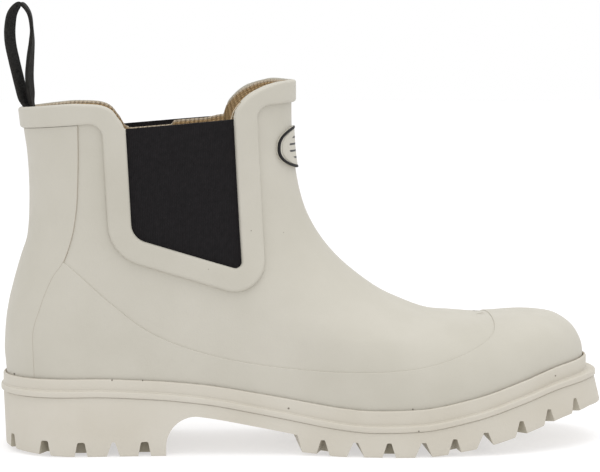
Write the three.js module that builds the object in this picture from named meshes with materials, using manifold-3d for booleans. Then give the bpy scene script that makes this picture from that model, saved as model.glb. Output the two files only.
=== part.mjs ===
// A rubber ankle boot with elastic side panels, for the right foot.
// Millimetres, +Z up, +X from heel to toe, +Y to the inner side of the foot.
import * as THREE from 'three';
import { mergeVertices } from 'three/addons/utils/BufferGeometryUtils.js';
import Module from 'manifold-3d';

const wasm = await Module();
wasm.setup();

// Driving sizes of the foot and the shaft
const FOOT_LENGTH = 277.7;
const BALL_WIDTH = 91;
const HEEL_WIDTH = 63;
const WAIST_WIDTH = 62;
const TOE_DEPTH = 21;
const FRONT_HEIGHT = 111;
const BACK_HEIGHT = 125.6;
const HEEL_CURVE = 11.7;
const SHAFT_LENGTH = 127;
const SHAFT_WIDTH = 76;
const WALL = 2.2;
const HEEL_STRIP = 0.7;
const RAND = 0.5;
const CLEARANCE = 0.3;

// Driving sizes of the sole unit
const FOREPART_HEIGHT = 11.4;
const HEEL_LIFT = 16.4;
const TOE_SPRING = 19.7;
const FOXING_HEIGHT = 10;
const FOXING_EDGE = 1.2;
const RIDGE_HEIGHT = 3;
const RIDGE_SIDE = 2.2;
const RIDGE_END = 4.6;
const TOE_BUMPER = 2.2;
const HEEL_TUCK = 1;
const SIDE_TUCK = 0.6;
const SOLE_BEVEL = 0.8;
const TRAY_FLOOR = 3;
const WAIST_THICKNESS = 6.2;
const BREAST_RADIUS = 14;
const LUG_SLANT = 2.5;
const CHANNEL_DEPTH = 6.9;
const NOTCH_DEPTH = 6.1;
const NOTCH_REACH = 11;
const GROOVE_WIDTH = 6;
const GROOVE_DEPTH = 4.5;
const CHANNEL_MOUTH = 8.6;
const NOTCH_MOUTH = 6.6;
const HEEL_NOTCH_MOUTH = 5.4;
const INSOLE = 4;
const INSOLE_BEVEL = 1.5;

// Driving sizes of the collar, the elastics, the loop and the badge
const BAND_WIDTH = 11;
const BAND = 1.9;
const BAND_FRONT_RISE = 1.5;
const GORE_DIP = 14.5;
const GORE_DEPTH = 82;
const LAP = 4;
const ELASTIC = 1.6;
const LOOP_HEIGHT = 48;
const LOOP_SPREAD = 10.8;
const WEBBING_WIDTH = 9;
const WEBBING = 1.6;
const LOOP_TAIL = 14;
const BADGE_WIDTH = 38;
const BADGE_HEIGHT = 20;
const BADGE = 1;
const BADGE_RIM = 0.8;
const BADGE_DROP = 30.9;

// Mesh steps round a section and up the form
const AROUND = 40;
const ROWS_UP = 24;
const SOLE_AROUND = 56;

const COLOURS = {
  rubber: 0xcbc7bb,
  sole: 0xcdc9bd,
  elastic: 0x1f1d1f,
  webbing: 0x23221f,
  insole: 0xb59a70,
  ink: 0x191918,
};

// Foxing line along the foot: its foot and top rise with the heel and the toe
const SOLE_LINE = [
  { at: 0.0, heel: 1.0, toe: 0.0, under: 0.0, foxing: 0.93 },
  { at: 0.14, heel: 1.0, toe: 0.0, under: 0.0, foxing: 0.93 },
  { at: 0.24, heel: 0.925, toe: 0.0, under: 0.0, foxing: 0.94 },
  { at: 0.33, heel: 0.77, toe: 0.0, under: 0.0, foxing: 0.96 },
  { at: 0.42, heel: 0.49, toe: 0.0, under: 0.13, foxing: 0.98 },
  { at: 0.52, heel: 0.17, toe: 0.0, under: 0.05, foxing: 1.0 },
  { at: 0.56, heel: 0.07, toe: 0.0, under: 0.0, foxing: 1.0 },
  { at: 0.61, heel: 0.0, toe: 0.0, under: 0.0, foxing: 1.0 },
  { at: 0.69, heel: 0.0, toe: 0.03, under: 0.0, foxing: 1.0 },
  { at: 0.78, heel: 0.0, toe: 0.25, under: 0.14, foxing: 1.0 },
  { at: 0.87, heel: 0.0, toe: 0.61, under: 0.42, foxing: 1.0 },
  { at: 0.94, heel: 0.0, toe: 0.89, under: 0.7, foxing: 1.0 },
  { at: 1.0, heel: 0.0, toe: 1.0, under: 0.84, foxing: 1.0 },
];

// Outline of the foot from above: half widths and the shift of the middle line
const PLAN = [
  { at: 0.0, heel: 0.5, waist: 0.0, ball: 0.0, middle: 0.0 },
  { at: 0.14, heel: 0.5, waist: 0.0, ball: 0.0, middle: 0.0 },
  { at: 0.27, heel: 0.3, waist: 0.2, ball: 0.0, middle: -0.005 },
  { at: 0.38, heel: 0.0, waist: 0.5, ball: 0.0, middle: -0.018 },
  { at: 0.47, heel: 0.0, waist: 0.37, ball: 0.1, middle: -0.033 },
  { at: 0.56, heel: 0.0, waist: 0.14, ball: 0.32, middle: -0.042 },
  { at: 0.64, heel: 0.0, waist: 0.0, ball: 0.475, middle: -0.03 },
  { at: 0.72, heel: 0.0, waist: 0.0, ball: 0.51, middle: 0.0 },
  { at: 0.8, heel: 0.0, waist: 0.0, ball: 0.52, middle: 0.027 },
  { at: 0.9, heel: 0.0, waist: 0.0, ball: 0.5, middle: 0.045 },
  { at: 1.0, heel: 0.0, waist: 0.0, ball: 0.475, middle: 0.055 },
];

// Ends of the upper's sections, a row for each from the feather edge to the collar:
// up and back place the heel end, foot, leg, toe and front the ridge end
const SECTION_ENDS = [
  { up: 0.0, back: 0.0, foot: 1.0, leg: 0.0, toe: 0.0, front: 0.0 },
  { up: 0.044, back: -0.04, foot: 0.998, leg: 0.0, toe: 0.22, front: 0.0 },
  { up: 0.084, back: -0.07, foot: 0.991, leg: 0.0, toe: 0.45, front: 0.0 },
  { up: 0.12, back: -0.05, foot: 0.976, leg: 0.0, toe: 0.71, front: 0.0 },
  { up: 0.155, back: -0.03, foot: 0.944, leg: 0.0, toe: 0.93, front: 0.0 },
  { up: 0.2, back: 0.02, foot: 0.895, leg: 0.0, toe: 0.985, front: 0.0 },
  { up: 0.26, back: 0.13, foot: 0.831, leg: 0.0, toe: 0.945, front: 0.0 },
  { up: 0.342, back: 0.35, foot: 0.752, leg: 0.0, toe: 1.0, front: 0.007 },
  { up: 0.43, back: 0.63, foot: 0.61, leg: 0.12, toe: 1.0, front: 0.075 },
  { up: 0.51, back: 0.9, foot: 0.455, leg: 0.3, toe: 1.0, front: 0.193 },
  { up: 0.589, back: 0.98, foot: 0.313, leg: 0.5, toe: 1.0, front: 0.324 },
  { up: 0.669, back: 1.0, foot: 0.19, leg: 0.7, toe: 1.0, front: 0.47 },
  { up: 0.748, back: 0.98, foot: 0.103, leg: 0.86, toe: 1.0, front: 0.614 },
  { up: 0.828, back: 0.92, foot: 0.055, leg: 0.952, toe: 1.0, front: 0.736 },
  { up: 0.902, back: 0.81, foot: 0.033, leg: 0.996, toe: 1.0, front: 0.849 },
  { up: 1.0, back: 0.69, foot: 0.03, leg: 1.002, toe: 1.0, front: 1.0 },
];

// Shapes of the same sections: sag to the foxing line, share of the shaft in the width,
// girth of the shaft, depth of the rounding beside the ridge and its fullness
const SECTION_SHAPES = [
  { sag: 1.0, shaft: 0.0, girth: 0.86, round: 0.33, full: 2.4 },
  { sag: 0.95, shaft: 0.0, girth: 0.86, round: 0.33, full: 2.4 },
  { sag: 0.88, shaft: 0.0, girth: 0.86, round: 0.33, full: 2.4 },
  { sag: 0.8, shaft: 0.0, girth: 0.86, round: 0.33, full: 2.4 },
  { sag: 0.7, shaft: 0.02, girth: 0.86, round: 0.33, full: 2.4 },
  { sag: 0.55, shaft: 0.05, girth: 0.85, round: 0.33, full: 2.35 },
  { sag: 0.4, shaft: 0.12, girth: 0.84, round: 0.34, full: 2.3 },
  { sag: 0.25, shaft: 0.26, girth: 0.83, round: 0.36, full: 2.2 },
  { sag: 0.12, shaft: 0.47, girth: 0.83, round: 0.4, full: 2.15 },
  { sag: 0.04, shaft: 0.7, girth: 0.84, round: 0.48, full: 2.1 },
  { sag: 0.0, shaft: 0.88, girth: 0.86, round: 0.53, full: 2.05 },
  { sag: 0.0, shaft: 1.0, girth: 0.89, round: 0.53, full: 2.0 },
  { sag: 0.0, shaft: 1.0, girth: 0.92, round: 0.51, full: 2.0 },
  { sag: 0.0, shaft: 1.0, girth: 0.95, round: 0.49, full: 2.0 },
  { sag: 0.0, shaft: 1.0, girth: 0.975, round: 0.47, full: 2.0 },
  { sag: 0.0, shaft: 1.0, girth: 1.0, round: 0.46, full: 2.0 },
];
const TOP_SECTION = SECTION_ENDS.length - 1;

// Rounding depth of the heel end, as a share of the heel or shaft length
const HEEL_ROUND = 0.53;
const SHAFT_BACK_ROUND = 0.41;
const TOE_ROUND = 0.25;
const TOE_FULLNESS = 2.2;
const END_FULLNESS = 2.1;

// Collar edge below the straight line from back to front
const COLLAR_LINE = [
  { along: -0.2, drop: 0.09 },
  { along: 0.0, drop: 0.08 },
  { along: 0.17, drop: 0.06 },
  { along: 0.24, drop: 0.11 },
  { along: 0.28, drop: 0.16 },
  { along: 0.31, drop: 0.25 },
  { along: 0.333, drop: 0.39 },
  { along: 0.351, drop: 0.6 },
  { along: 0.366, drop: 0.78 },
  { along: 0.378, drop: 1.0 },
  { along: 0.768, drop: 1.0 },
  { along: 0.778, drop: 0.72 },
  { along: 0.8, drop: 0.48 },
  { along: 0.832, drop: 0.25 },
  { along: 0.868, drop: 0.1 },
  { along: 0.91, drop: -0.01 },
  { along: 0.96, drop: -0.07 },
  { along: 1.2, drop: -0.07 },
];

// Corners of the elastic's window, as shares of the shaft and the window's depth
const WINDOW = [
  { along: 0.376, down: 0.05, radius: 0 },
  { along: 0.401, down: 0.795, radius: 9 },
  { along: 0.803, down: 1.038, radius: 3 },
  { along: 0.768, down: 0.05, radius: 0 },
];

// Front edge of the strip up the back of the heel
const STRIP_EDGE = [
  { along: 0.27, up: 1.1 },
  { along: 0.274, up: 0.844 },
  { along: 0.269, up: 0.66 },
  { along: 0.257, up: 0.554 },
  { along: 0.22, up: 0.43 },
  { along: 0.176, up: 0.363 },
  { along: 0.132, up: 0.255 },
  { along: 0.103, up: 0.143 },
  { along: 0.105, up: 0.056 },
  { along: 0.12, up: -0.2 },
];

// Upper edge of the rand that runs from the heel strip into the toe cap
const RAND_EDGE = [
  { at: 0.03, rise: 3.1 },
  { at: 0.102, rise: 2.5 },
  { at: 0.173, rise: 1.67 },
  { at: 0.238, rise: 1.05 },
  { at: 0.32, rise: 0.69 },
  { at: 0.43, rise: 0.62 },
  { at: 0.57, rise: 0.8 },
  { at: 0.71, rise: 0.91 },
  { at: 0.8, rise: 1.08 },
  { at: 0.828, rise: 1.25 },
  { at: 0.834, rise: 1.62 },
  { at: 0.82, rise: 2.4 },
];

// Side cuts in the heel and the forepart; a channel runs right across
const CUTS = [
  { at: 0.004, kind: 'heel' },
  { at: 0.063, kind: 'heel' },
  { at: 0.125, kind: 'heel' },
  { at: 0.179, kind: 'channel' },
  { at: 0.231, kind: 'heel' },
  { at: 0.528, kind: 'notch' },
  { at: 0.582, kind: 'channel' },
  { at: 0.637, kind: 'notch' },
  { at: 0.695, kind: 'channel' },
  { at: 0.748, kind: 'notch' },
  { at: 0.801, kind: 'channel' },
  { at: 0.864, kind: 'notch' },
  { at: 0.915, kind: 'notch' },
  { at: 0.966, kind: 'notch' },
];

// Turning points of the groove along the middle of the tread, each inside a channel
const HEEL_GROOVE = [0.055, 0.3];
const FOREPART_GROOVE = [0.45, 0.582, 0.695, 0.801, 0.94];

// Pull loop from one strand over the top to the other, from its seat at the rim
const LOOP = [
  { out: 0.0, up: 0.0, turn: 0 },
  { out: -0.1, up: 0.05, turn: 7 },
  { out: -0.32, up: 0.15, turn: 18 },
  { out: -0.55, up: 0.27, turn: 25 },
  { out: -0.76, up: 0.44, turn: 27 },
  { out: -0.93, up: 0.62, turn: 27 },
  { out: -0.95, up: 0.77, turn: 26 },
  { out: -0.82, up: 0.92, turn: 22 },
  { out: -0.52, up: 1.0, turn: 12 },
  { out: -0.16, up: 0.92, turn: 4 },
  { out: -0.03, up: 0.76, turn: 0 },
  { out: -0.05, up: 0.63, turn: 7 },
  { out: -0.12, up: 0.46, turn: 14 },
  { out: -0.15, up: 0.27, turn: 17 },
  { out: -0.07, up: 0.12, turn: 15 },
  { out: 0.02, up: 0.0, turn: 4 },
];

// Where the heel's breast and the first forepart lug stand, as shares of the foot
const BREAST = 0.267;
const FOREPART_START = 0.487;
// Width of a cut's root as a share of its mouth
const CUT_ROOT = 0.3;

const clamp = (value, low, high) => Math.min(high, Math.max(low, value));
const mix = (a, b, t) => a + (b - a) * t;
const smooth = (low, high, value) => {
  const t = clamp((value - low) / (high - low), 0, 1);
  return t * t * (3 - 2 * t);
};

// A smooth curve through one column of a table, without overshoot
function column(rows, name, key) {
  const x = rows.map((row, index) => (key ? row[key] : index));
  const y = rows.map((row) => row[name]);
  const last = x.length - 1;
  const rise = [];
  for (let i = 0; i < last; i += 1) rise.push((y[i + 1] - y[i]) / (x[i + 1] - x[i]));
  const slope = y.map((_, i) => {
    if (i === 0) return rise[0];
    if (i === last) return rise[last - 1];
    if (rise[i - 1] * rise[i] <= 0) return 0;
    return (2 * rise[i - 1] * rise[i]) / (rise[i - 1] + rise[i]);
  });
  return (value) => {
    const v = clamp(value, x[0], x[last]);
    let i = 0;
    while (i < last - 1 && v > x[i + 1]) i += 1;
    const h = x[i + 1] - x[i];
    const t = (v - x[i]) / h;
    const u = 1 - t;
    return (
      y[i] * (1 + 2 * t) * u * u
      + slope[i] * h * t * u * u
      + y[i + 1] * t * t * (3 - 2 * t)
      - slope[i + 1] * h * t * t * u
    );
  };
}

// Every column of a table as such a curve
const columns = (rows, key) => Object.fromEntries(
  Object.keys(rows[0]).map((name) => [name, column(rows, name, key)]),
);

// Rounding of a section's end: 0 at the edge, 1 from the full depth on
const rounded = (depth, fullness) => {
  const rest = 1 - clamp(depth, 0, 1);
  return (1 - rest ** fullness) ** (1 / fullness);
};

const soleColumn = columns(SOLE_LINE, 'at');
const share = (x) => x / FOOT_LENGTH;
const foxingFoot = (x) => (
  FOREPART_HEIGHT + HEEL_LIFT * soleColumn.heel(share(x)) + TOE_SPRING * soleColumn.toe(share(x))
);
const foxingTop = (x) => foxingFoot(x) + FOXING_HEIGHT * soleColumn.foxing(share(x));
const trayFloor = (x) => foxingFoot(x) + TRAY_FLOOR;
const underside = (x) => TOE_SPRING * soleColumn.under(share(x));

const planColumn = columns(PLAN, 'at');
const planBody = (x) => (
  HEEL_WIDTH * planColumn.heel(share(x))
  + WAIST_WIDTH * planColumn.waist(share(x))
  + BALL_WIDTH * planColumn.ball(share(x))
);
const planMiddle = (x) => BALL_WIDTH * planColumn.middle(share(x));

const section = { ...columns(SECTION_ENDS, null), ...columns(SECTION_SHAPES, null) };
const backPoint = (v) => ({
  x: HEEL_CURVE * section.back(v),
  z: foxingTop(0) + BACK_HEIGHT * section.up(v),
});
const frontPoint = (v) => ({
  x: FOOT_LENGTH * section.foot(v) + SHAFT_LENGTH * section.leg(v),
  z: foxingTop(FOOT_LENGTH) + TOE_DEPTH * section.toe(v) + FRONT_HEIGHT * section.front(v),
});

// The ridge of the toe, instep and shaft seen from the side
const RIDGE_STEPS = 600;
const ridge = Array.from({ length: RIDGE_STEPS + 1 }, (_, i) => frontPoint((TOP_SECTION * i) / RIDGE_STEPS));

function ridgeDistance(x, z) {
  let best = Infinity;
  for (let i = 0; i < RIDGE_STEPS; i += 1) {
    const a = ridge[i];
    const b = ridge[i + 1];
    const dx = b.x - a.x;
    const dz = b.z - a.z;
    const t = clamp(((x - a.x) * dx + (z - a.z) * dz) / (dx * dx + dz * dz), 0, 1);
    const d = (x - a.x - t * dx) ** 2 + (z - a.z - t * dz) ** 2;
    if (d < best) best = d;
  }
  return Math.sqrt(best);
}

function ridgeHeight(x) {
  for (let i = 0; i < RIDGE_STEPS; i += 1) {
    const a = ridge[i];
    const b = ridge[i + 1];
    if (x <= a.x && x >= b.x) return mix(a.z, b.z, (a.x - x) / (a.x - b.x || 1));
  }
  return ridge[0].z;
}

// A point of the upper: v counts sections, turn goes once round from the heel
function formPoint(v, turn) {
  const back = backPoint(v);
  const front = frontPoint(v);
  const s = (1 - Math.cos(2 * Math.PI * turn)) / 2;
  const x = mix(back.x, front.x, s);
  const chord = mix(foxingTop(0), foxingTop(FOOT_LENGTH), s);
  const z = mix(back.z, front.z, s) + (foxingTop(s * FOOT_LENGTH) - chord) * section.sag(v);
  const shaft = section.shaft(v);
  const length = front.x - back.x;
  const backRound = mix(
    HEEL_WIDTH * HEEL_ROUND,
    SHAFT_LENGTH * SHAFT_BACK_ROUND,
    smooth(0.5, 1, section.up(v)),
  );
  const toeEnd = rounded((FOOT_LENGTH - x) / (FOOT_LENGTH * TOE_ROUND), TOE_FULLNESS);
  const body = mix(planBody(x) * toeEnd, (SHAFT_WIDTH / 2) * section.girth(v), shaft);
  let crown = 1;
  if (v > 0) {
    const toeward = smooth(0.61, 0.8, share(x));
    let depth = 0;
    if (toeward < 1) depth += (1 - toeward) * (ridgeDistance(x, z) / (SHAFT_LENGTH * section.round(v)));
    if (toeward > 0) {
      const top = ridgeHeight(x);
      depth += toeward * ((top - z) / Math.max(top - foxingTop(x), 0.01));
    }
    crown = rounded(depth, section.full(v));
  }
  const heelEnd = rounded((s * length) / backRound, END_FULLNESS);
  const half = s === 0 || s === 1 ? 0 : body * crown * heelEnd;
  const middle = planMiddle(x) * (1 - shaft);
  const side = turn < 0.5 ? -1 : 1;
  return new THREE.Vector3(x, middle + side * half, z);
}

const turns = (count) => Array.from({ length: count }, (_, i) => i / count);

// Rings of the upper pushed out by a distance, running on past its foot and its collar
const FORM_REACH = 12;
const formRows = Array.from({ length: ROWS_UP }, (_, i) => (TOP_SECTION * i) / (ROWS_UP - 1));
const formGrid = formRows.map((v) => turns(AROUND).map((turn) => formPoint(v, turn)));
const formNormals = formGrid.map((ring, row) => ring.map((_, i) => {
  const below = formGrid[Math.max(row - 1, 0)][i];
  const above = formGrid[Math.min(row + 1, ROWS_UP - 1)][i];
  const up = above.clone().sub(below);
  const round = ring[(i + 1) % AROUND].clone().sub(ring[(i + AROUND - 1) % AROUND]);
  const normal = round.cross(up).normalize();
  if (row === 0) normal.setZ(0).normalize();
  return normal;
}));

function formRings(offset) {
  const rings = formGrid.map((ring, row) => ring.map((point, i) => (
    point.clone().addScaledVector(formNormals[row][i], offset)
  )));
  const sunk = rings[0].map((point) => point.clone().setZ(point.z - FOXING_HEIGHT - FORM_REACH));
  const raised = rings[ROWS_UP - 1].map((point) => point.clone().setZ(point.z + FORM_REACH));
  return [sunk, ...rings, raised];
}

// Triangles for rings of equal count, closed across both ends
function ringSolid(rings) {
  const count = rings[0].length;
  const positions = rings.flat().flatMap((p) => [p.x, p.y, p.z]);
  const index = [];
  for (let row = 0; row + 1 < rings.length; row += 1) {
    for (let i = 0; i < count; i += 1) {
      const a = row * count + i;
      const b = row * count + ((i + 1) % count);
      index.push(a, b, b + count, a, b + count, a + count);
    }
  }
  const cap = (start, flip) => {
    for (let i = 0; i < count / 2; i += 1) {
      const a = start + i;
      const b = start + i + 1;
      const c = start + count - i - 1;
      const d = start + ((count - i) % count);
      const faces = [];
      if (b !== c) faces.push([a, c, b]);
      if (a !== d) faces.push([a, d, c]);
      faces.forEach(([p, q, r]) => (flip ? index.push(p, r, q) : index.push(p, q, r)));
    }
  };
  cap(0, false);
  cap((rings.length - 1) * count, true);
  const geometry = new THREE.BufferGeometry();
  geometry.setAttribute('position', new THREE.Float32BufferAttribute(positions, 3));
  geometry.setIndex(index);
  return solid(geometry);
}

function signedVolume(geometry) {
  const p = geometry.getAttribute('position');
  const index = geometry.getIndex();
  const [a, b, c] = [new THREE.Vector3(), new THREE.Vector3(), new THREE.Vector3()];
  let volume = 0;
  for (let i = 0; i < index.count; i += 3) {
    a.fromBufferAttribute(p, index.getX(i));
    b.fromBufferAttribute(p, index.getX(i + 1));
    c.fromBufferAttribute(p, index.getX(i + 2));
    volume += a.dot(b.cross(c)) / 6;
  }
  return volume;
}

// A closed geometry as a solid, turned so that its faces point out
function solid(geometry) {
  const bare = geometry.clone();
  bare.deleteAttribute('normal');
  bare.deleteAttribute('uv');
  const merged = mergeVertices(bare, 1e-4);
  const triVerts = Uint32Array.from(merged.getIndex().array);
  if (signedVolume(merged) < 0) {
    for (let i = 0; i < triVerts.length; i += 3) {
      [triVerts[i], triVerts[i + 1]] = [triVerts[i + 1], triVerts[i]];
    }
  }
  const vertProperties = Float32Array.from(merged.getAttribute('position').array);
  return new wasm.Manifold(new wasm.Mesh({ numProp: 3, vertProperties, triVerts }));
}

const form = (offset) => ringSolid(formRings(offset));

// Outlines drawn in the side view and pushed right across the boot
const SIDE_REACH = 90;

function sidePrism(points) {
  const shape = new THREE.Shape(points.map((p) => new THREE.Vector2(p.x, p.z)));
  const geometry = new THREE.ExtrudeGeometry(shape, { depth: 2 * SIDE_REACH, bevelEnabled: false });
  geometry.rotateX(Math.PI / 2);
  geometry.translate(0, SIDE_REACH, 0);
  return solid(geometry);
}

// A polygon whose corners are rounded by arcs
function roundCorners(corners, steps = 5) {
  return corners.flatMap((corner, i) => {
    if (!corner.radius) return [{ x: corner.x, z: corner.z }];
    const at = new THREE.Vector2(corner.x, corner.z);
    const before = corners[(i + corners.length - 1) % corners.length];
    const after = corners[(i + 1) % corners.length];
    const toBefore = new THREE.Vector2(before.x, before.z).sub(at);
    const toAfter = new THREE.Vector2(after.x, after.z).sub(at);
    const room = 0.45 * Math.min(toBefore.length(), toAfter.length());
    toBefore.normalize();
    toAfter.normalize();
    const half = Math.acos(clamp(toBefore.dot(toAfter), -1, 1)) / 2;
    const reach = Math.min(corner.radius / Math.tan(half), room);
    const radius = reach * Math.tan(half);
    const middle = toBefore.clone().add(toAfter).normalize();
    const centre = at.clone().addScaledVector(middle, radius / Math.sin(half));
    const from = at.clone().addScaledVector(toBefore, reach).sub(centre);
    const to = at.clone().addScaledVector(toAfter, reach).sub(centre);
    const start = Math.atan2(from.y, from.x);
    let sweep = Math.atan2(to.y, to.x) - start;
    if (sweep > Math.PI) sweep -= 2 * Math.PI;
    if (sweep < -Math.PI) sweep += 2 * Math.PI;
    return Array.from({ length: steps + 1 }, (_, k) => {
      const angle = start + (sweep * k) / steps;
      return { x: centre.x + radius * Math.cos(angle), z: centre.y + radius * Math.sin(angle) };
    });
  });
}

const collarBack = backPoint(TOP_SECTION);
const collarFront = frontPoint(TOP_SECTION);
const collarX = (along) => collarBack.x + along * SHAFT_LENGTH;
const collarChord = (x) => mix(
  collarBack.z,
  collarFront.z,
  (x - collarBack.x) / (collarFront.x - collarBack.x),
);
const collarDrop = column(COLLAR_LINE, 'drop', 'along');
const COLLAR_STEPS = 48;

// Everything above the collar's edge, or above a line that far below it
function aboveCollar(lower) {
  const first = COLLAR_LINE[0].along;
  const last = COLLAR_LINE[COLLAR_LINE.length - 1].along;
  const edge = Array.from({ length: COLLAR_STEPS + 1 }, (_, i) => {
    const along = mix(first, last, i / COLLAR_STEPS);
    const x = collarX(along);
    return { x, z: collarChord(x) - GORE_DIP * collarDrop(along) - lower };
  });
  const top = collarFront.z + SIDE_REACH;
  return sidePrism([...edge, { x: edge[COLLAR_STEPS].x, z: top }, { x: edge[0].x, z: top }]);
}

// The window's corners moved outwards by a margin along both of their edges
function windowCorners(margin) {
  const corners = WINDOW.map((row) => {
    const x = collarX(row.along);
    return new THREE.Vector2(x, collarChord(x) - GORE_DEPTH * row.down);
  });
  const edges = corners.slice(1).map((corner, i) => {
    const along = corner.clone().sub(corners[i]).normalize();
    const out = new THREE.Vector2(along.y, -along.x).multiplyScalar(-margin);
    return { from: corners[i].clone().sub(out), along };
  });
  const meet = (a, b) => {
    const cross = a.along.x * b.along.y - a.along.y * b.along.x;
    const gap = b.from.clone().sub(a.from);
    return a.from.clone().addScaledVector(a.along, (gap.x * b.along.y - gap.y * b.along.x) / cross);
  };
  const lower = [meet(edges[0], edges[1]), meet(edges[1], edges[2])];
  const rise = (edge, sign) => edge.from.clone().addScaledVector(edge.along, sign * SIDE_REACH);
  return [
    { point: rise(edges[0], -1), radius: 0 },
    { point: lower[0], radius: WINDOW[1].radius + margin },
    { point: lower[1], radius: WINDOW[2].radius + margin },
    { point: rise(edges[2], 1 + corners[3].distanceTo(corners[2]) / SIDE_REACH), radius: 0 },
  ].map(({ point, radius }) => ({ x: point.x, z: point.y, radius }));
}

const windowPrism = (margin) => sidePrism(roundCorners(windowCorners(margin)));

// The part of the shaft that the collar band covers, with a margin round it
function bandPrism(margin) {
  const width = BAND_WIDTH + margin;
  const [, lowBack, lowFront] = windowCorners(width);
  const backEnd = collarX(-0.3);
  const frontEnd = collarX(1.3);
  const under = (x) => collarChord(x) - width;
  const backX = mix(lowBack.x, collarX(WINDOW[0].along) - width, 0.8);
  const frontX = collarX(WINDOW[3].along) + width;
  return sidePrism(roundCorners([
    { x: backEnd, z: under(backEnd), radius: 0 },
    { x: backX, z: under(backX), radius: 6 },
    lowBack,
    lowFront,
    { x: frontX, z: under(frontX) + BAND_FRONT_RISE, radius: 6 },
    { x: frontEnd, z: under(frontEnd) + BAND_FRONT_RISE, radius: 0 },
    { x: frontEnd, z: collarFront.z + SIDE_REACH, radius: 0 },
    { x: backEnd, z: collarFront.z + SIDE_REACH, radius: 0 },
  ]));
}

function stripPrism() {
  const edge = STRIP_EDGE.map((row) => ({
    x: row.along * SHAFT_LENGTH,
    z: foxingTop(0) + BACK_HEIGHT * row.up,
  }));
  const behind = -SIDE_REACH;
  return sidePrism([...edge, { x: behind, z: edge[edge.length - 1].z }, { x: behind, z: edge[0].z }]);
}

function randPrism() {
  const edge = RAND_EDGE.map((row) => {
    const x = row.at * FOOT_LENGTH;
    return { x, z: foxingTop(x) + TOE_DEPTH * row.rise };
  });
  const ahead = FOOT_LENGTH + SIDE_REACH;
  const tip = edge[edge.length - 1].z;
  const low = -SIDE_REACH;
  return sidePrism([...edge, { x: ahead, z: tip }, { x: ahead, z: low }, { x: edge[0].x, z: low }]);
}

// Everything below the surface that the upper's foot stands on
function belowFloor() {
  const steps = 24;
  const start = -FORM_REACH;
  const end = FOOT_LENGTH + FORM_REACH;
  const edge = Array.from({ length: steps + 1 }, (_, i) => {
    const x = mix(start, end, i / steps);
    return { x, z: trayFloor(x) + CLEARANCE };
  });
  return sidePrism([...edge, { x: end, z: -SIDE_REACH }, { x: start, z: -SIDE_REACH }]);
}

// Half width of the sole: the foot's outline let out at the heel, the sides and the toe
function soleHalf(x, out) {
  const heelEnd = rounded((x + out.heel) / (HEEL_WIDTH * HEEL_ROUND), END_FULLNESS);
  const toeEnd = rounded((FOOT_LENGTH + out.toe - x) / (FOOT_LENGTH * TOE_ROUND), TOE_FULLNESS);
  return (planBody(x) + out.side) * heelEnd * toeEnd;
}

function soleRing(out, height) {
  return turns(SOLE_AROUND).map((turn) => {
    const s = (1 - Math.cos(2 * Math.PI * turn)) / 2;
    const x = mix(-out.heel, FOOT_LENGTH + out.toe, s);
    const tip = turn === 0 || turn === 0.5;
    const half = tip ? 0 : soleHalf(x, out);
    const y = planMiddle(x) + (turn < 0.5 ? -half : half);
    return new THREE.Vector3(x, y, height(clamp(x, 0, FOOT_LENGTH)));
  });
}

const even = (distance) => ({ heel: distance, side: distance, toe: distance });
const foxingOut = HEEL_STRIP + CLEARANCE + FOXING_EDGE;
const ridgeOut = {
  heel: foxingOut + RIDGE_SIDE / 2,
  side: foxingOut + RIDGE_SIDE,
  toe: foxingOut + RIDGE_END,
};
const grow = (out, distance) => ({
  heel: out.heel + distance,
  side: out.side + distance,
  toe: out.toe + distance,
});

// The tray that the upper stands in: foxing, ridge and floor in one
function midsole() {
  const above = (rise) => (x) => foxingFoot(x) + rise;
  const below = (drop) => (x) => foxingTop(x) - drop;
  return ringSolid([
    soleRing(grow(ridgeOut, -SOLE_BEVEL), above(0)),
    soleRing(ridgeOut, above(SOLE_BEVEL)),
    soleRing(ridgeOut, above(RIDGE_HEIGHT - SOLE_BEVEL)),
    soleRing(even(foxingOut), above(RIDGE_HEIGHT)),
    soleRing(even(foxingOut), below(SOLE_BEVEL)),
    soleRing(even(foxingOut - SOLE_BEVEL), below(0)),
    soleRing(even(HEEL_STRIP + CLEARANCE), below(0)),
    soleRing(even(HEEL_STRIP + CLEARANCE), trayFloor),
  ]);
}

// A tapered prism through the sole along a direction, mouth down
function cutPrism(mouth, depth, from, to) {
  const root = mouth * CUT_ROOT;
  const low = -FOREPART_HEIGHT;
  const slope = (mouth - root) / 2 / depth;
  const foot = mouth / 2 - slope * low;
  const shape = new THREE.Shape([
    new THREE.Vector2(-foot, low),
    new THREE.Vector2(foot, low),
    new THREE.Vector2(root / 2, depth),
    new THREE.Vector2(-root / 2, depth),
  ]);
  const length = from.distanceTo(to);
  const geometry = new THREE.ExtrudeGeometry(shape, { depth: length, bevelEnabled: false });
  const forward = to.clone().sub(from).normalize();
  const up = new THREE.Vector3(0, 0, 1);
  const across = up.clone().cross(forward);
  geometry.applyMatrix4(new THREE.Matrix4().makeBasis(across, up, forward).setPosition(from));
  return solid(geometry);
}

// Point of the sole's edge and its outward direction in plan
function soleEdge(at, side) {
  const place = (x) => new THREE.Vector3(x, planMiddle(x) + side * soleHalf(x, ridgeOut), 0);
  const x = at * FOOT_LENGTH;
  const along = place(x + 1).sub(place(x - 1)).normalize();
  const outward = new THREE.Vector3(along.y, -along.x, 0).multiplyScalar(-side);
  return { point: place(x), outward };
}

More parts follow.
